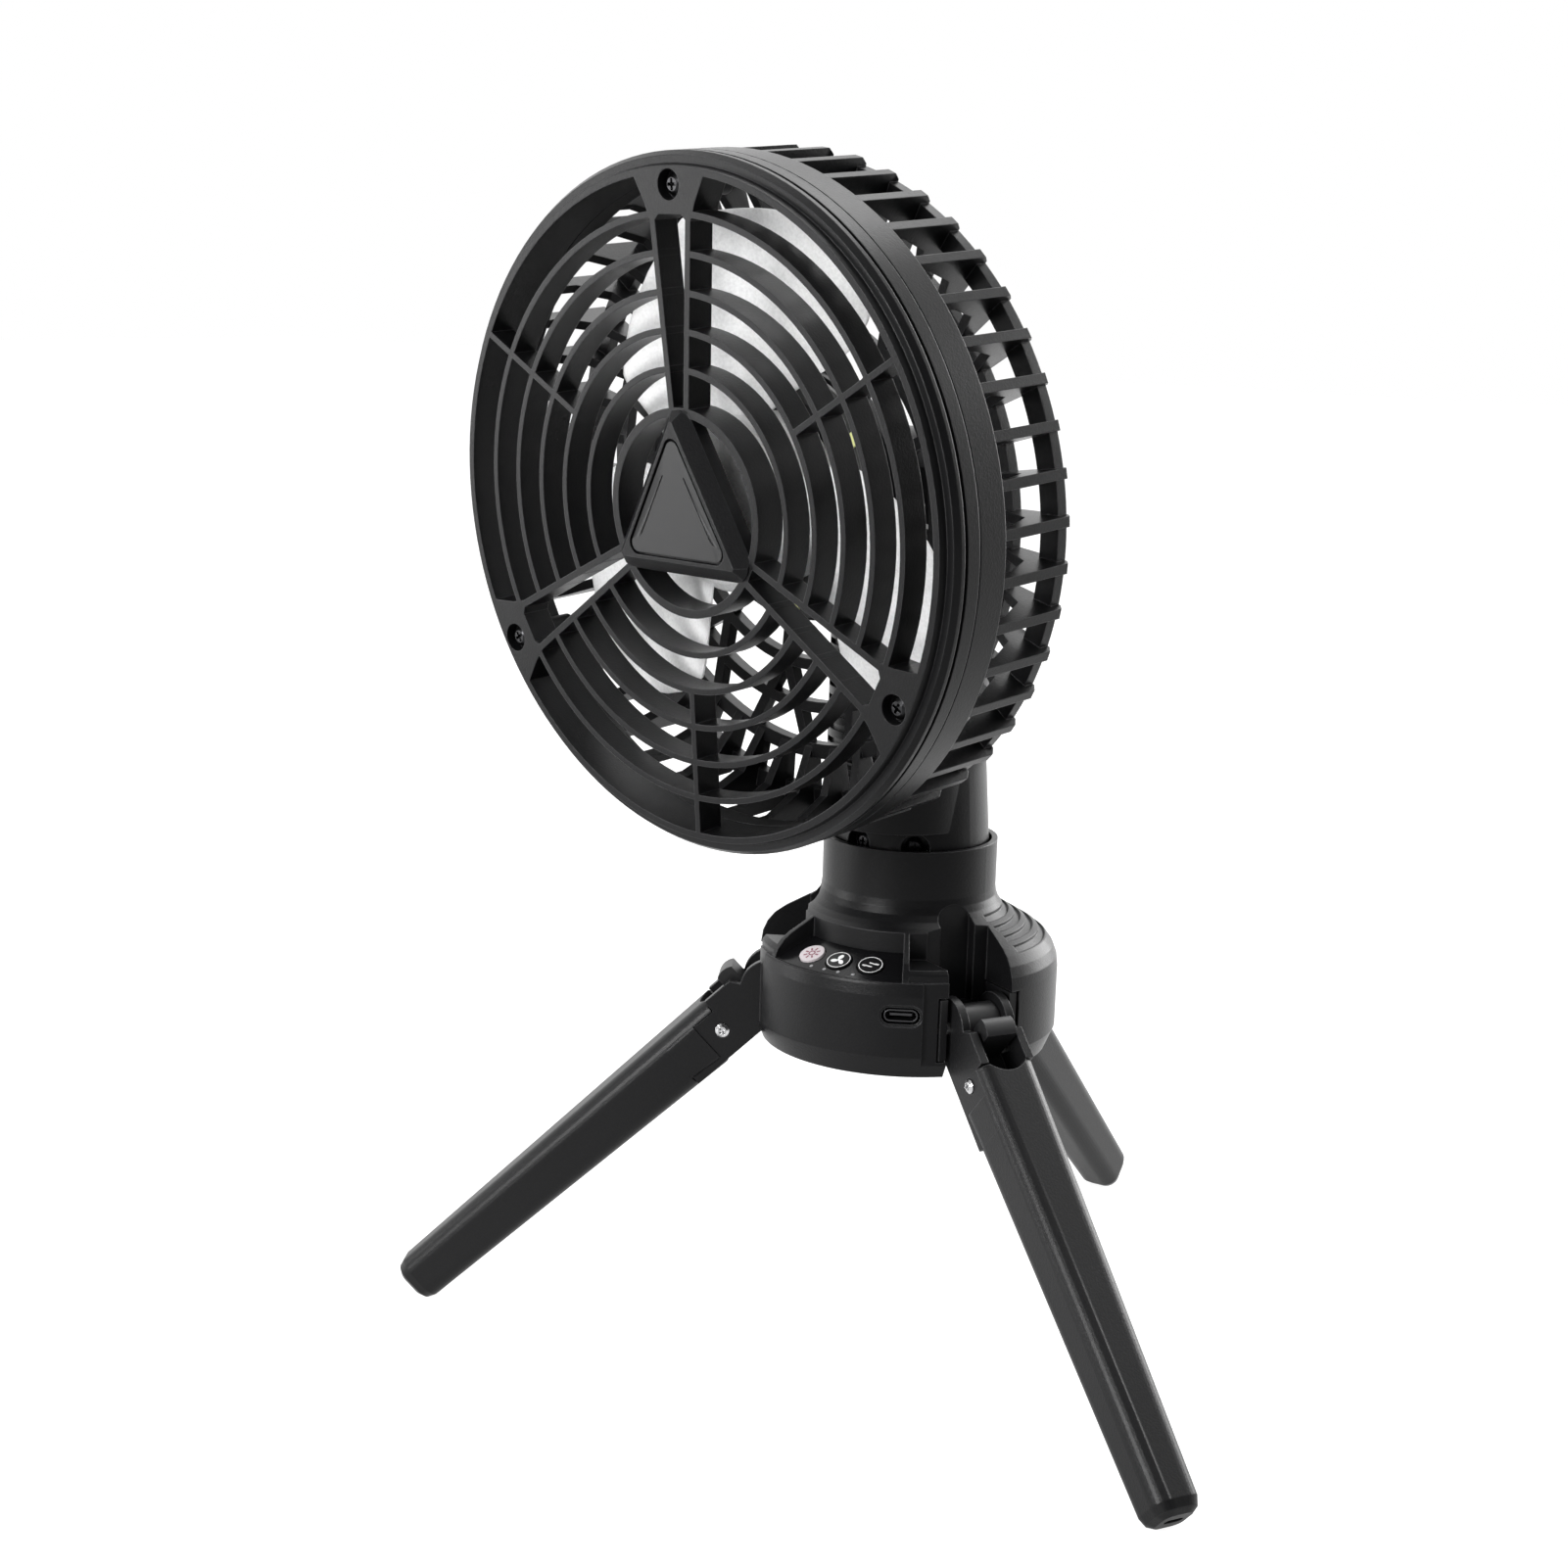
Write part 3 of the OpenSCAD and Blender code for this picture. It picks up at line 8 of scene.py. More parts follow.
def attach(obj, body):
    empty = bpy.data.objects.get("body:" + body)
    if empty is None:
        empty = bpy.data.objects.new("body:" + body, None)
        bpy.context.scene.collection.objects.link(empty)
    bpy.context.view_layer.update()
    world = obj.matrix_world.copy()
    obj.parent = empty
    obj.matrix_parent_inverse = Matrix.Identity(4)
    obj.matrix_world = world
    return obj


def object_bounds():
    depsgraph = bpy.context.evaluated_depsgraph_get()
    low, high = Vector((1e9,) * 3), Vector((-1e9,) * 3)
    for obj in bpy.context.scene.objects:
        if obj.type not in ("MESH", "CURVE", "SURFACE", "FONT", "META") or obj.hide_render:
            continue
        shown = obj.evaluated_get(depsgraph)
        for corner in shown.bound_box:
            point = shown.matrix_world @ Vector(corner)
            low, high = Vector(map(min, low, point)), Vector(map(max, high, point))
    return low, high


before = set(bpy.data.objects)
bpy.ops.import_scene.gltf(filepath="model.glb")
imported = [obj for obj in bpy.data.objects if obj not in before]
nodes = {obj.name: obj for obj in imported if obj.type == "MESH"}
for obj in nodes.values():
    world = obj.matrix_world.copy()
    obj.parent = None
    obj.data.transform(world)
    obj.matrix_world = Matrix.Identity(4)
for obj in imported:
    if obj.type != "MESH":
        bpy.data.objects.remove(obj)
cad_box = [list(corner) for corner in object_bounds()]
scene = bpy.context.scene

# ------------------------------------------------------------------ front grille
# The grille is one moulding of black ABS: ring, bars, screw plates and hub cap together.
# The mould is spark eroded, which leaves a fine even grain. The corners are painted lighter in
# patches: partly wear from handling, partly a painted highlight along the edges.
patch_scale, bump_height, half_share = 38, 0.0001, 0.5
put_out = (("Color", "NodeSocketColor", "Base Color"),
           ("Roughness", "NodeSocketFloat", "Roughness"),
           ("Normal", "NodeSocketVector", "Normal"))


def open_group(name, inputs):
    """Node group with these inputs, which puts out colour, roughness and normal."""
    group = bpy.data.node_groups.new(name, "ShaderNodeTree")
    for label, kind, default in inputs:
        socket = group.interface.new_socket(label, in_out="INPUT", socket_type=kind)
        socket.default_value = default
    for label, kind, target in put_out:
        group.interface.new_socket(label, in_out="OUTPUT", socket_type=kind)
    return group


grain = open_group("moulded_grain", (("Color", "NodeSocketColor", (0.05, 0.05, 0.05, 1)),
                                     ("Edge wear and highlight color", "NodeSocketColor", (0.1, 0.1, 0.1, 1)),
                                     ("Roughness", "NodeSocketFloat", 0.5),
                                     ("Grain size", "NodeSocketFloat", 2400.0),
                                     ("Grain depth", "NodeSocketFloat", 0.25),
                                     ("Corner", "NodeSocketFloat", 0.0005)))
n, link = grain.nodes, grain.links.new
given = n.new("NodeGroupInput")
result = n.new("NodeGroupOutput")
place = n.new("ShaderNodeTexCoord")
fine = n.new("ShaderNodeTexNoise")
fine.inputs["Detail"].default_value = 3
fine.inputs["Roughness"].default_value = 0.6
link(place.outputs["Object"], fine.inputs["Vector"])
link(given.outputs["Grain size"], fine.inputs["Scale"])
slow = n.new("ShaderNodeTexNoise")
slow.inputs["Scale"].default_value = patch_scale
slow.inputs["Detail"].default_value = 5
link(place.outputs["Object"], slow.inputs["Vector"])
# where the rounded corner leans away from the flat face, the corner is painted lighter in patches:
# partly rubbed skin, partly a painted edge highlight
corner = n.new("ShaderNodeBevel")
corner.samples = 4
link(given.outputs["Corner"], corner.inputs["Radius"])
flat = n.new("ShaderNodeNewGeometry")
lean = n.new("ShaderNodeVectorMath")
lean.operation = "DOT_PRODUCT"
link(corner.outputs["Normal"], lean.inputs[0])
link(flat.outputs["Normal"], lean.inputs[1])
rub_and_highlight = n.new("ShaderNodeMapRange")
rub_and_highlight.inputs["From Min"].default_value = 0.985
rub_and_highlight.inputs["From Max"].default_value = 0.80
rub_and_highlight.inputs["To Max"].default_value = 0.9
link(lean.outputs["Value"], rub_and_highlight.inputs["Value"])
patchy = n.new("ShaderNodeMapRange")
patchy.inputs["From Min"].default_value = 0.25
patchy.inputs["From Max"].default_value = 0.55
link(slow.outputs["Fac"], patchy.inputs["Value"])
wear_and_highlight = n.new("ShaderNodeMath")
wear_and_highlight.operation = "MULTIPLY"
link(rub_and_highlight.outputs["Result"], wear_and_highlight.inputs[0])
link(patchy.outputs["Result"], wear_and_highlight.inputs[1])
# slow and fine changes of tone, half of each
tone = n.new("ShaderNodeMapRange")
tone.inputs["From Min"].default_value = 0.3
tone.inputs["From Max"].default_value = 0.7
tone.inputs["To Min"].default_value = 0.82
tone.inputs["To Max"].default_value = 1.18
mixed = n.new("ShaderNodeMath")
mixed.operation = "MULTIPLY_ADD"
mixed.inputs[1].default_value = half_share
link(fine.outputs["Fac"], mixed.inputs[0])
half = n.new("ShaderNodeMath")
half.operation = "MULTIPLY"
half.inputs[1].default_value = half_share
link(slow.outputs["Fac"], half.inputs[0])
link(half.outputs["Value"], mixed.inputs[2])
link(mixed.outputs["Value"], tone.inputs["Value"])
shade = n.new("ShaderNodeVectorMath")
shade.operation = "SCALE"
link(given.outputs["Color"], shade.inputs[0])
link(tone.outputs["Result"], shade.inputs["Scale"])
# the lighter corner colour goes in here: partly handling wear, partly a painted edge highlight
blend = n.new("ShaderNodeMix")
blend.data_type = "RGBA"
link(wear_and_highlight.outputs["Value"], blend.inputs["Factor"])
link(shade.outputs["Vector"], blend.inputs["A"])
link(given.outputs["Edge wear and highlight color"], blend.inputs["B"])
link(blend.outputs["Result"], result.inputs["Color"])
rough = n.new("ShaderNodeMath")
rough.operation = "MULTIPLY_ADD"
rough.inputs[1].default_value = 0.16
link(fine.outputs["Fac"], rough.inputs[0])
link(given.outputs["Roughness"], rough.inputs[2])
link(rough.outputs["Value"], result.inputs["Roughness"])
bump = n.new("ShaderNodeBump")
bump.inputs["Distance"].default_value = bump_height
link(given.outputs["Grain depth"], bump.inputs["Strength"])
link(fine.outputs["Fac"], bump.inputs["Height"])
link(corner.outputs["Normal"], bump.inputs["Normal"])
link(bump.outputs["Normal"], result.inputs["Normal"])
crease = math.radians(28)


def surface(name, group, values, uniform, uniform_value):
    """Material that takes a group's three outputs, with one uniform value on its shader."""
    made = bpy.data.materials.new(name)
    made.use_nodes = True
    shader = made.node_tree.nodes["Principled BSDF"]
    shader.inputs[uniform].default_value = uniform_value
    effect = made.node_tree.nodes.new("ShaderNodeGroup")
    effect.node_tree = group
    for label, value in values.items():
        effect.inputs[label].default_value = value
    for label, kind, target in put_out:
        made.node_tree.links.new(effect.outputs[label], shader.inputs[target])
    return made


def moulding(name, colour, worn_and_highlight, roughness, grain_size, grain_depth, corner, specular):
    """Material of one moulding, from the shared grain. Corner is the radius of the lighter edge,
    which is partly rubbed and partly a painted highlight.
    """
    return surface(name, grain, {"Color": (*colour, 1), "Edge wear and highlight color": (*worn_and_highlight, 1),
                                 "Roughness": roughness, "Grain size": grain_size,
                                 "Grain depth": grain_depth, "Corner": corner},
                   "Specular IOR Level", specular)


def finish(material, *names):
    """Gives CAD pieces their material, smooth round faces and clear edges."""
    for name in names:
        piece = nodes[name]
        piece.data.materials.clear()
        piece.data.materials.append(material)
        for face in piece.data.polygons:
            face.use_smooth = True
        split = piece.modifiers.new("clear edges", "EDGE_SPLIT")
        split.split_angle = crease


# The second colour is the lighter corner: partly handling wear, partly a painted edge highlight.
head_black = moulding("head_black_abs", (0.0055, 0.0055, 0.006), (0.085, 0.085, 0.088),
                      roughness=0.25, grain_size=1700, grain_depth=0.55, corner=0.0004,
                      specular=0.17)
finish(head_black, "front_grille")

# The hub badge is a satin plate of the same black, pressed into its recess and left plain.
finish(moulding("badge_black", (0.0075, 0.0075, 0.008), (0.016, 0.016, 0.0165),
                roughness=0.34, grain_size=3200, grain_depth=0.25, corner=0.0003, specular=0.40),
       "hub_badge")

# ------------------------------------------------------------------ screws and shafts
# Screws, pins and shafts are drawn or turned steel. The tool marks run along the stock and
# break the gloss up into short streaks. The grille and foot screws are blackened.
mark_height, steel_corner = 0.00002, 0.0002
drawn = open_group("drawn_metal", (("Color", "NodeSocketColor", (0.56, 0.56, 0.57, 1)),
                                   ("Roughness", "NodeSocketFloat", 0.3),
                                   ("Streaks", "NodeSocketVector", (400.0, 400.0, 2400.0))))
n, link = drawn.nodes, drawn.links.new
given = n.new("NodeGroupInput")
result = n.new("NodeGroupOutput")
place = n.new("ShaderNodeTexCoord")
along = n.new("ShaderNodeMapping")
link(place.outputs["Object"], along.inputs["Vector"])
link(given.outputs["Streaks"], along.inputs["Scale"])
streak = n.new("ShaderNodeTexNoise")
streak.inputs["Scale"].default_value = 4
streak.inputs["Detail"].default_value = 4
link(along.outputs["Vector"], streak.inputs["Vector"])
dull = n.new("ShaderNodeVectorMath")
dull.operation = "SCALE"
dull.inputs["Scale"].default_value = 0.84
link(given.outputs["Color"], dull.inputs[0])
tone = n.new("ShaderNodeMix")
tone.data_type = "RGBA"
link(streak.outputs["Fac"], tone.inputs["Factor"])
link(dull.outputs["Vector"], tone.inputs["A"])
link(given.outputs["Color"], tone.inputs["B"])
link(tone.outputs["Result"], result.inputs["Color"])
rough = n.new("ShaderNodeMath")
rough.operation = "MULTIPLY_ADD"
rough.inputs[1].default_value = 0.18
link(streak.outputs["Fac"], rough.inputs[0])
link(given.outputs["Roughness"], rough.inputs[2])
link(rough.outputs["Value"], result.inputs["Roughness"])
corner = n.new("ShaderNodeBevel")
corner.samples = 4
corner.inputs["Radius"].default_value = steel_corner
bump = n.new("ShaderNodeBump")
bump.inputs["Strength"].default_value = 0.2
bump.inputs["Distance"].default_value = mark_height
link(streak.outputs["Fac"], bump.inputs["Height"])
link(corner.outputs["Normal"], bump.inputs["Normal"])
link(bump.outputs["Normal"], result.inputs["Normal"])


def metal(name, colour, roughness, streaks):
    """Material of one metal, from the shared tool marks."""
    return surface(name, drawn, {"Color": (*colour, 1), "Roughness": roughness,
                                 "Streaks": streaks}, "Metallic", 1)


finish(metal("blackened_steel", (0.045, 0.045, 0.047), roughness=0.22, streaks=(400, 400, 1600)),
       "grille_screws", "foot_screws")
finish(metal("turned_steel", (0.56, 0.56, 0.57), roughness=0.20, streaks=(400, 400, 2400)),
       "housing_screws", "motor_shaft", "motor_bearings", "rotor_can", "tilt_pin", "swing_shaft",
       "cover_screws", "hinge_pins")

# ------------------------------------------------------------------ rear cage and rear housing
# The cage, its screw bosses and its back lattice are one black ABS moulding. The rear housing
# and the tilt arm are moulded in the same plastic and screwed through the cage into the
# motor plate.
finish(head_black, "rear_cage", "rear_housing", "tilt_arm")

# ------------------------------------------------------------------ motor and lamp
# A black plate carries the wound core and its bearings. The lamp is a ring of circuit board
# round the motor, with six phosphor chips soldered on it.
finish(moulding("inner_black_abs", (0.010, 0.010, 0.0105), (0.04, 0.04, 0.042),
                roughness=0.42, grain_size=2400, grain_depth=0.25, corner=0.0003, specular=0.40),
       "motor_plate", "battery_holder")
finish(metal("copper_winding", (0.72, 0.36, 0.18), roughness=0.30, streaks=(400, 400, 3600)),
       "motor_stator")
finish(moulding("lamp_board", (0.022, 0.023, 0.022), (0.08, 0.08, 0.08),
                roughness=0.42, grain_size=1800, grain_depth=0.15, corner=0.0002, specular=0.5),
       "led_board")
finish(moulding("lamp_phosphor", (0.78, 0.80, 0.34), (0.85, 0.86, 0.5),
                roughness=0.32, grain_size=2600, grain_depth=0.10, corner=0.0002, specular=0.5),
       "led_chips")

# ------------------------------------------------------------------ fan blades
# Blades, hub and nut are milky polypropylene. Light sinks in a little way, so the blades
# look soft and pale, with the shadows of the bars blurred on them.
sink = 0.01
milk = moulding("milky_blade", (0.90, 0.905, 0.91), (0.92, 0.92, 0.93),
                roughness=0.42, grain_size=1200, grain_depth=0.06, corner=0.0004, specular=0.4)
shader = milk.node_tree.nodes["Principled BSDF"]
shader.inputs["Subsurface Weight"].default_value = 1.0
shader.inputs["Subsurface Radius"].default_value = (sink, sink, sink)
shader.inputs["Subsurface Scale"].default_value = 0.4
finish(milk, "fan_blades", "shaft_nut")

# ------------------------------------------------------------------ battery neck
# The neck is a black ABS tube with a ridged grip, closed by a turning foot that four screws
# hold. Three cells in shrink wrap stand in it between two end plates.
body_black = moulding("body_black_abs", (0.0065, 0.0065, 0.007), (0.075, 0.075, 0.078),
                      roughness=0.26, grain_size=1600, grain_depth=0.50, corner=0.0005,
                      specular=0.19)
finish(body_black, "neck_shell")
finish(moulding("foot_black_acetal", (0.008, 0.008, 0.0085), (0.03, 0.03, 0.03),
                roughness=0.30, grain_size=2400, grain_depth=0.15, corner=0.0003, specular=0.40),
       "neck_foot")
finish(moulding("cell_wrap", (0.03, 0.10, 0.26), (0.08, 0.18, 0.36),
                roughness=0.28, grain_size=1800, grain_depth=0.10, corner=0.0004, specular=0.5),
       "battery_cells")

# ------------------------------------------------------------------ base
# Housing and bottom cover are black ABS, closed by three screws from below. A gear motor in
# a plated can stands inside, under the nylon bush that the neck foot turns in.
finish(body_black, "base_housing", "bottom_cover")
finish(metal("motor_can_plate", (0.60, 0.60, 0.58), roughness=0.32, streaks=(400, 400, 1600)),
       "swing_motor")
finish(moulding("bush_nylon", (0.72, 0.71, 0.66), (0.80, 0.80, 0.78),
                roughness=0.45, grain_size=2400, grain_depth=0.15, corner=0.0003, specular=0.5),
       "swing_bush")
finish(moulding("green_board", (0.012, 0.060, 0.030), (0.05, 0.12, 0.08),
                roughness=0.35, grain_size=1800, grain_depth=0.15, corner=0.0002, specular=0.5),
       "control_board")

# The charging socket is a rolled steel shell with a dark tongue, blackened to match.
finish(metal("socket_shell", (0.10, 0.10, 0.105), roughness=0.26, streaks=(400, 400, 1600)),
       "usb_socket")

# ------------------------------------------------------------------ control panel
# A glossy black sheet lies on the sloped face of the pod. Three caps come up through it: a
# pale one for the lamp and two black ones, and four light pipes show the charge.
finish(moulding("panel_gloss_sheet", (0.005, 0.005, 0.0055), (0.03, 0.03, 0.03),
                roughness=0.10, grain_size=3000, grain_depth=0.04, corner=0.0003, specular=0.17),
       "control_panel")
finish(moulding("black_cap", (0.005, 0.005, 0.0055), (0.04, 0.04, 0.04),
                roughness=0.26, grain_size=3000, grain_depth=0.12, corner=0.0003, specular=0.14),
       "button_fan", "button_swing")
finish(moulding("pale_cap", (0.58, 0.53, 0.55), (0.70, 0.67, 0.68),
                roughness=0.34, grain_size=3000, grain_depth=0.10, corner=0.0003, specular=0.45),
       "button_light")
finish(moulding("light_pipe", (0.24, 0.24, 0.25), (0.3, 0.3, 0.3),
                roughness=0.22, grain_size=3000, grain_depth=0.10, corner=0.0001, specular=0.5),
       "level_lights")

# Ink marks are pad printed on the caps: a ring and a fan, a ring and two arrows, and a dark
# red lamp. Each is drawn flat in millimetres, made a thin closed skin, and set on its cap.
base_r, panel_h = 43, 26
panel_out, cap_r = base_r - 1, base_r - 7
slope, cap_rise, cap_turn = math.radians(24), 1.0, 15
ink_low, ink_high = -0.02, 0.035


def cap_place(step):
    """Frame of a cap top: x to the right, y towards the neck, in millimetres."""
    height = panel_h + (panel_out - cap_r) * math.tan(slope)
    return (Matrix.Scale(0.001, 4) @ Matrix.Rotation(math.radians(cap_turn * step - 90), 4, "Z")
            @ Matrix.Translation((cap_r, 0, height)) @ Matrix.Rotation(slope, 4, "Y")
            @ Matrix.Translation((0, 0, cap_rise)) @ Matrix.Rotation(math.radians(90), 4, "Z"))


def dot(mesh, spot, radii, turn=0, segments=32):
    """Flat oval of ink, turned about the middle of the cap."""
    bmesh.ops.create_circle(mesh, cap_ends=True, radius=1, segments=segments,
                            matrix=Matrix.Rotation(math.radians(turn), 4, "Z")
                            @ Matrix.Translation((*spot, 0)) @ Matrix.Diagonal((*radii, 1, 1)))


def stroke(mesh, spot, size, turn, lean=0):
    """Flat bar of ink, leaning by itself before it is turned about the middle of the cap."""
    bmesh.ops.create_grid(mesh, x_segments=1, y_segments=1, size=0.5,
                          matrix=Matrix.Rotation(math.radians(turn), 4, "Z")
                          @ Matrix.Translation((*spot, 0))
                          @ Matrix.Rotation(math.radians(lean), 4, "Z")
                          @ Matrix.Diagonal((*size, 1, 1)))


def hoop(mesh, radius, width):
    """Ring of ink with its own thickness, already closed."""
    corners = [mesh.verts.new((radius + x, 0, z)) for x, z in
               ((0, ink_low), (width, ink_low), (width, ink_high), (0, ink_high))]
    sides = [mesh.edges.new((corners[k], corners[(k + 1) % 4])) for k in range(4)]
    bmesh.ops.spin(mesh, geom=corners + sides, axis=(0, 0, 1), cent=(0, 0, 0),
                   angle=2 * math.pi, steps=64, use_merge=True)


def print_mark(name, body, step, material, flats, ring):
    """Makes the flat marks a skin of ink, adds the ring and sets them on their cap."""
    mesh = bmesh.new()
    flats(mesh)
    for vert in mesh.verts:
        vert.co.z = ink_low
    raised = bmesh.ops.extrude_face_region(mesh, geom=mesh.faces[:], use_keep_orig=True)
    bmesh.ops.translate(mesh, vec=(0, 0, ink_high - ink_low),
                        verts=[v for v in raised["geom"] if isinstance(v, bmesh.types.BMVert)])
    hoop(mesh, *ring)
    bmesh.ops.recalc_face_normals(mesh, faces=mesh.faces[:])
    bmesh.ops.transform(mesh, matrix=cap_place(step), verts=mesh.verts[:])
    mark = bpy.data.objects.new(name, bpy.data.meshes.new(name))
    mesh.to_mesh(mark.data)
    mesh.free()
    mark.data.materials.append(material)
    scene.collection.objects.link(mark)
    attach(mark, body)


def lamp_flats(mesh):
    """Eight rays of the lamp."""
    rays = 8
    for k in range(rays):
        stroke(mesh, (1.85, 0), (1.1, 0.5), 360 / rays * k)


def fan_flats(mesh):
    """Hub and three blades of the fan."""
    first_blade, blades = 194, 3
    dot(mesh, (0, 0), (0.4, 0.4), segments=16)
    for k in range(blades):
        dot(mesh, (1.25, 0.3), (1.0, 0.66), first_blade + 360 / blades * k, 24)


def arrow_flats(mesh):
    """Shaft and head of two arrows that point away from each other."""
    arrow_lean = -13
    for turn in (0, 180):
        stroke(mesh, (0.85, 0.52), (2.8, 0.38), turn, arrow_lean)
        stroke(mesh, (1.72, 0.42), (1.0, 0.62), turn, arrow_lean)


white_ink = moulding("white_ink", (0.84, 0.84, 0.84), (0.88, 0.88, 0.88),
                     roughness=0.36, grain_size=3000, grain_depth=0.1, corner=0.00001, specular=0.4)
red_ink = moulding("red_ink", (0.20, 0.045, 0.075), (0.3, 0.1, 0.12),
                   roughness=0.36, grain_size=3000, grain_depth=0.1, corner=0.00001, specular=0.4)
cap_ring, lamp_ring = (3.1, 0.2), (0.65, 0.4)
print_mark("lamp_mark", "button_light", -1, red_ink, lamp_flats, lamp_ring)
print_mark("fan_mark", "button_fan", 0, white_ink, fan_flats, cap_ring)
print_mark("swing_mark", "button_swing", 1, white_ink, arrow_flats, cap_ring)

# ------------------------------------------------------------------ legs
# Each leg is a hollow black ABS shell on a bracket that turns on a steel pin between the
# ears of its hinge block. A sliding catch locks it, and plated screws hold the shell.
finish(moulding("leg_black_abs", (0.0085, 0.0085, 0.009), (0.08, 0.08, 0.083),
                roughness=0.29, grain_size=1600, grain_depth=0.55, corner=0.0005, specular=0.22),
       "leg_left", "leg_right", "leg_rear",
       "leg_bracket_left", "leg_bracket_right", "leg_bracket_rear")
finish(moulding("hinge_black_acetal", (0.009, 0.009, 0.0095), (0.04, 0.04, 0.042),
                roughness=0.34, grain_size=2400, grain_depth=0.2, corner=0.0003, specular=0.42),
       "hinge_blocks", "leg_latch_left", "leg_latch_right", "leg_latch_rear")
finish(metal("bright_plating", (0.80, 0.80, 0.81), roughness=0.12, streaks=(400, 400, 800)),
       "leg_screws_left", "leg_screws_right", "leg_screws_rear")

# ------------------------------------------------------------------ floor and light
# A pale floor lies under the leg tips. The camera sees it lifted to white, with the shadow of
# the legs kept. In reflections it is white beyond the fan and shaded on the camera's side.
floor_reach, seen_lift = 6, 0.9
mesh = bmesh.new()
bmesh.ops.create_grid(mesh, x_segments=1, y_segments=1, size=floor_reach,
                      matrix=Matrix.Translation((0, 0, cad_box[0][2])))
floor = bpy.data.objects.new("floor", bpy.data.meshes.new("floor"))
mesh.to_mesh(floor.data)
mesh.free()
scene.collection.objects.link(floor)
paper = bpy.data.materials.new("floor_paper")
paper.use_nodes = True
n, link = paper.node_tree.nodes, paper.node_tree.links.new
shader = n["Principled BSDF"]
shader.inputs["Roughness"].default_value = 0.9
shader.inputs["Specular IOR Level"].default_value = 0.1
place = n.new("ShaderNodeTexCoord")
fibre = n.new("ShaderNodeTexNoise")
fibre.inputs["Scale"].default_value = 900
link(place.outputs["Object"], fibre.inputs["Vector"])
tone = n.new("ShaderNodeMix")
tone.data_type = "RGBA"
tone.inputs["A"].default_value = (0.29, 0.29, 0.29, 1)
tone.inputs["B"].default_value = (0.33, 0.33, 0.33, 1)
link(fibre.outputs["Fac"], tone.inputs["Factor"])
link(tone.outputs["Result"], shader.inputs["Base Color"])
ray = n.new("ShaderNodeLightPath")
seen = n.new("ShaderNodeMath")
seen.operation = "MAXIMUM"
link(ray.outputs["Is Camera Ray"], seen.inputs[0])
link(ray.outputs["Is Transmission Ray"], seen.inputs[1])
side = n.new("ShaderNodeVectorMath")
side.operation = "DOT_PRODUCT"
side.inputs[1].default_value = (-0.6, 0.8, 0)
link(place.outputs["Object"], side.inputs[0])
paler = n.new("ShaderNodeMapRange")
paler.interpolation_type = "SMOOTHSTEP"
paler.inputs["From Min"].default_value = -0.42
paler.inputs["From Max"].default_value = 0.25
paler.inputs["To Min"].default_value = 0.08
paler.inputs["To Max"].default_value = 1.0
link(side.outputs["Value"], paler.inputs["Value"])
shown = n.new("ShaderNodeMath")
shown.operation = "MULTIPLY_ADD"
link(ray.outputs["Is Glossy Ray"], shown.inputs[0])
link(paler.outputs["Result"], shown.inputs[1])
link(seen.outputs["Value"], shown.inputs[2])
lift = n.new("ShaderNodeMath")
lift.operation = "MULTIPLY"
lift.inputs[1].default_value = seen_lift
link(shown.outputs["Value"], lift.inputs[0])
shader.inputs["Emission Color"].default_value = (1, 1, 1, 1)
link(lift.outputs["Value"], shader.inputs["Emission Strength"])
floor.data.materials.append(paper)

# The room is white to the camera and beyond the fan, and darker behind the camera, so black
# plastic keeps its depth. What it lights is level from all sides.
room_level, dark_end, bright_end = 0.55, 0.03, 1.5
world = scene.world or bpy.data.worlds.new("studio")
scene.world = world
world.use_nodes = True
n, link = world.node_tree.nodes, world.node_tree.links.new
sky = n["Background"]
sky.inputs["Color"].default_value = (1, 1, 1, 1)
ray = n.new("ShaderNodeLightPath")
place = n.new("ShaderNodeTexCoord")
beyond = n.new("ShaderNodeVectorMath")
beyond.operation = "DOT_PRODUCT"
beyond.inputs[1].default_value = (-0.34, 0.76, 0.55)
link(place.outputs["Generated"], beyond.inputs[0])
reflected = n.new("ShaderNodeMapRange")
reflected.interpolation_type = "SMOOTHSTEP"
reflected.inputs["From Min"].default_value = -0.35
reflected.inputs["From Max"].default_value = 0.85
reflected.inputs["To Min"].default_value = dark_end
reflected.inputs["To Max"].default_value = bright_end
link(beyond.outputs["Value"], reflected.inputs["Value"])
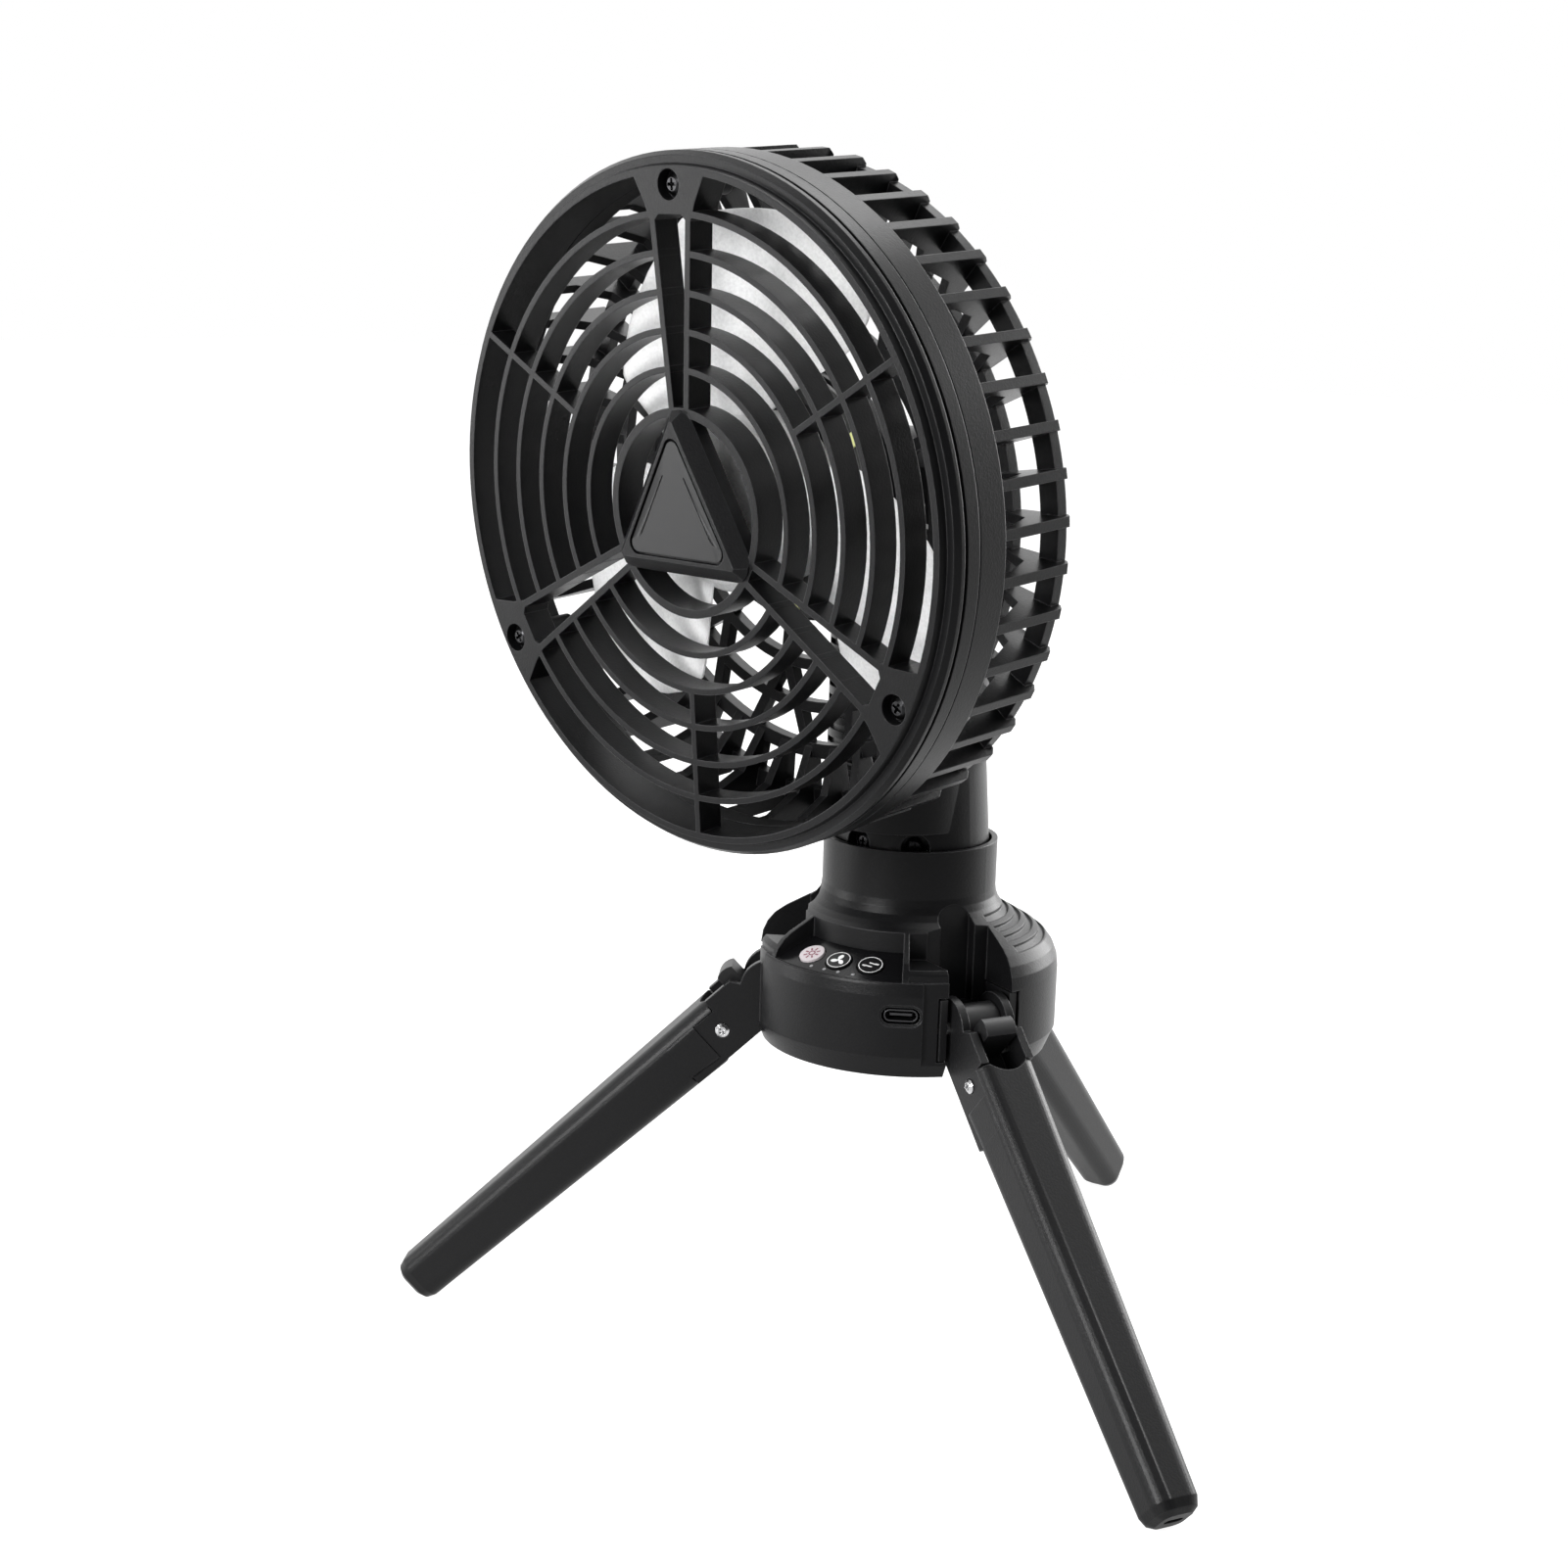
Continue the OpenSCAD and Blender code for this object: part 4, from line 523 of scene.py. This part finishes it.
glossy = n.new("ShaderNodeMix")
glossy.inputs["A"].default_value = room_level
link(ray.outputs["Is Glossy Ray"], glossy.inputs["Factor"])
link(reflected.outputs["Result"], glossy.inputs["B"])
direct = n.new("ShaderNodeMath")
direct.operation = "MAXIMUM"
link(ray.outputs["Is Camera Ray"], direct.inputs[0])
link(ray.outputs["Is Transmission Ray"], direct.inputs[1])
level = n.new("ShaderNodeMix")
level.inputs["B"].default_value = 1.0
link(direct.outputs["Value"], level.inputs["Factor"])
link(glossy.outputs["Result"], level.inputs["A"])
link(level.outputs["Result"], sky.inputs["Strength"])

# Soft boxes: one in front of the grille, a low one on the left that the flat plates reflect, a
# broad window behind on the right for the bright edges, and a broad one overhead.
for name, size, spot, aim, power in (
        ("front", (0.6, 0.6), (-0.28, -1.35, 0.50), (0, 0, 0.12), 20),
        ("low_left", (0.5, 0.5), (-1.15, -0.66, 0.12), (0, 0, 0.12), 5),
        ("rear_window", (0.9, 0.9), (0.45, 1.2, 0.45), (0, 0, 0.1), 18),
        ("overhead", (0.9, 0.9), (-0.2, 0.55, 1.4), (0, 0, 0.1), 14)):
    lamp = bpy.data.lights.new(name, "AREA")
    lamp.shape = "RECTANGLE"
    lamp.size, lamp.size_y = size
    lamp.energy = power
    holder = bpy.data.objects.new(name, lamp)
    holder.location = spot
    holder.rotation_euler = (Vector(aim) - Vector(spot)).to_track_quat("-Z", "Y").to_euler()
    scene.collection.objects.link(holder)

# The camera stands to the front right, a little above the base, and leans slightly.
eye = Vector((0.34563, -0.60007, 0.21444))
look = Vector((-0.03031, -0.01964, 0.07168))
roll = math.radians(1.73)
lens = bpy.data.cameras.new("camera")
lens.sensor_width = 36
lens.lens = 57.72
camera = bpy.data.objects.new("camera", lens)
camera.location = eye
level_view = (look - eye).to_track_quat("-Z", "Y").to_matrix()
camera.rotation_euler = (level_view @ Matrix.Rotation(roll, 3, "Z")).to_euler()
scene.collection.objects.link(camera)
scene.camera = camera
scene.view_settings.view_transform = "Standard"
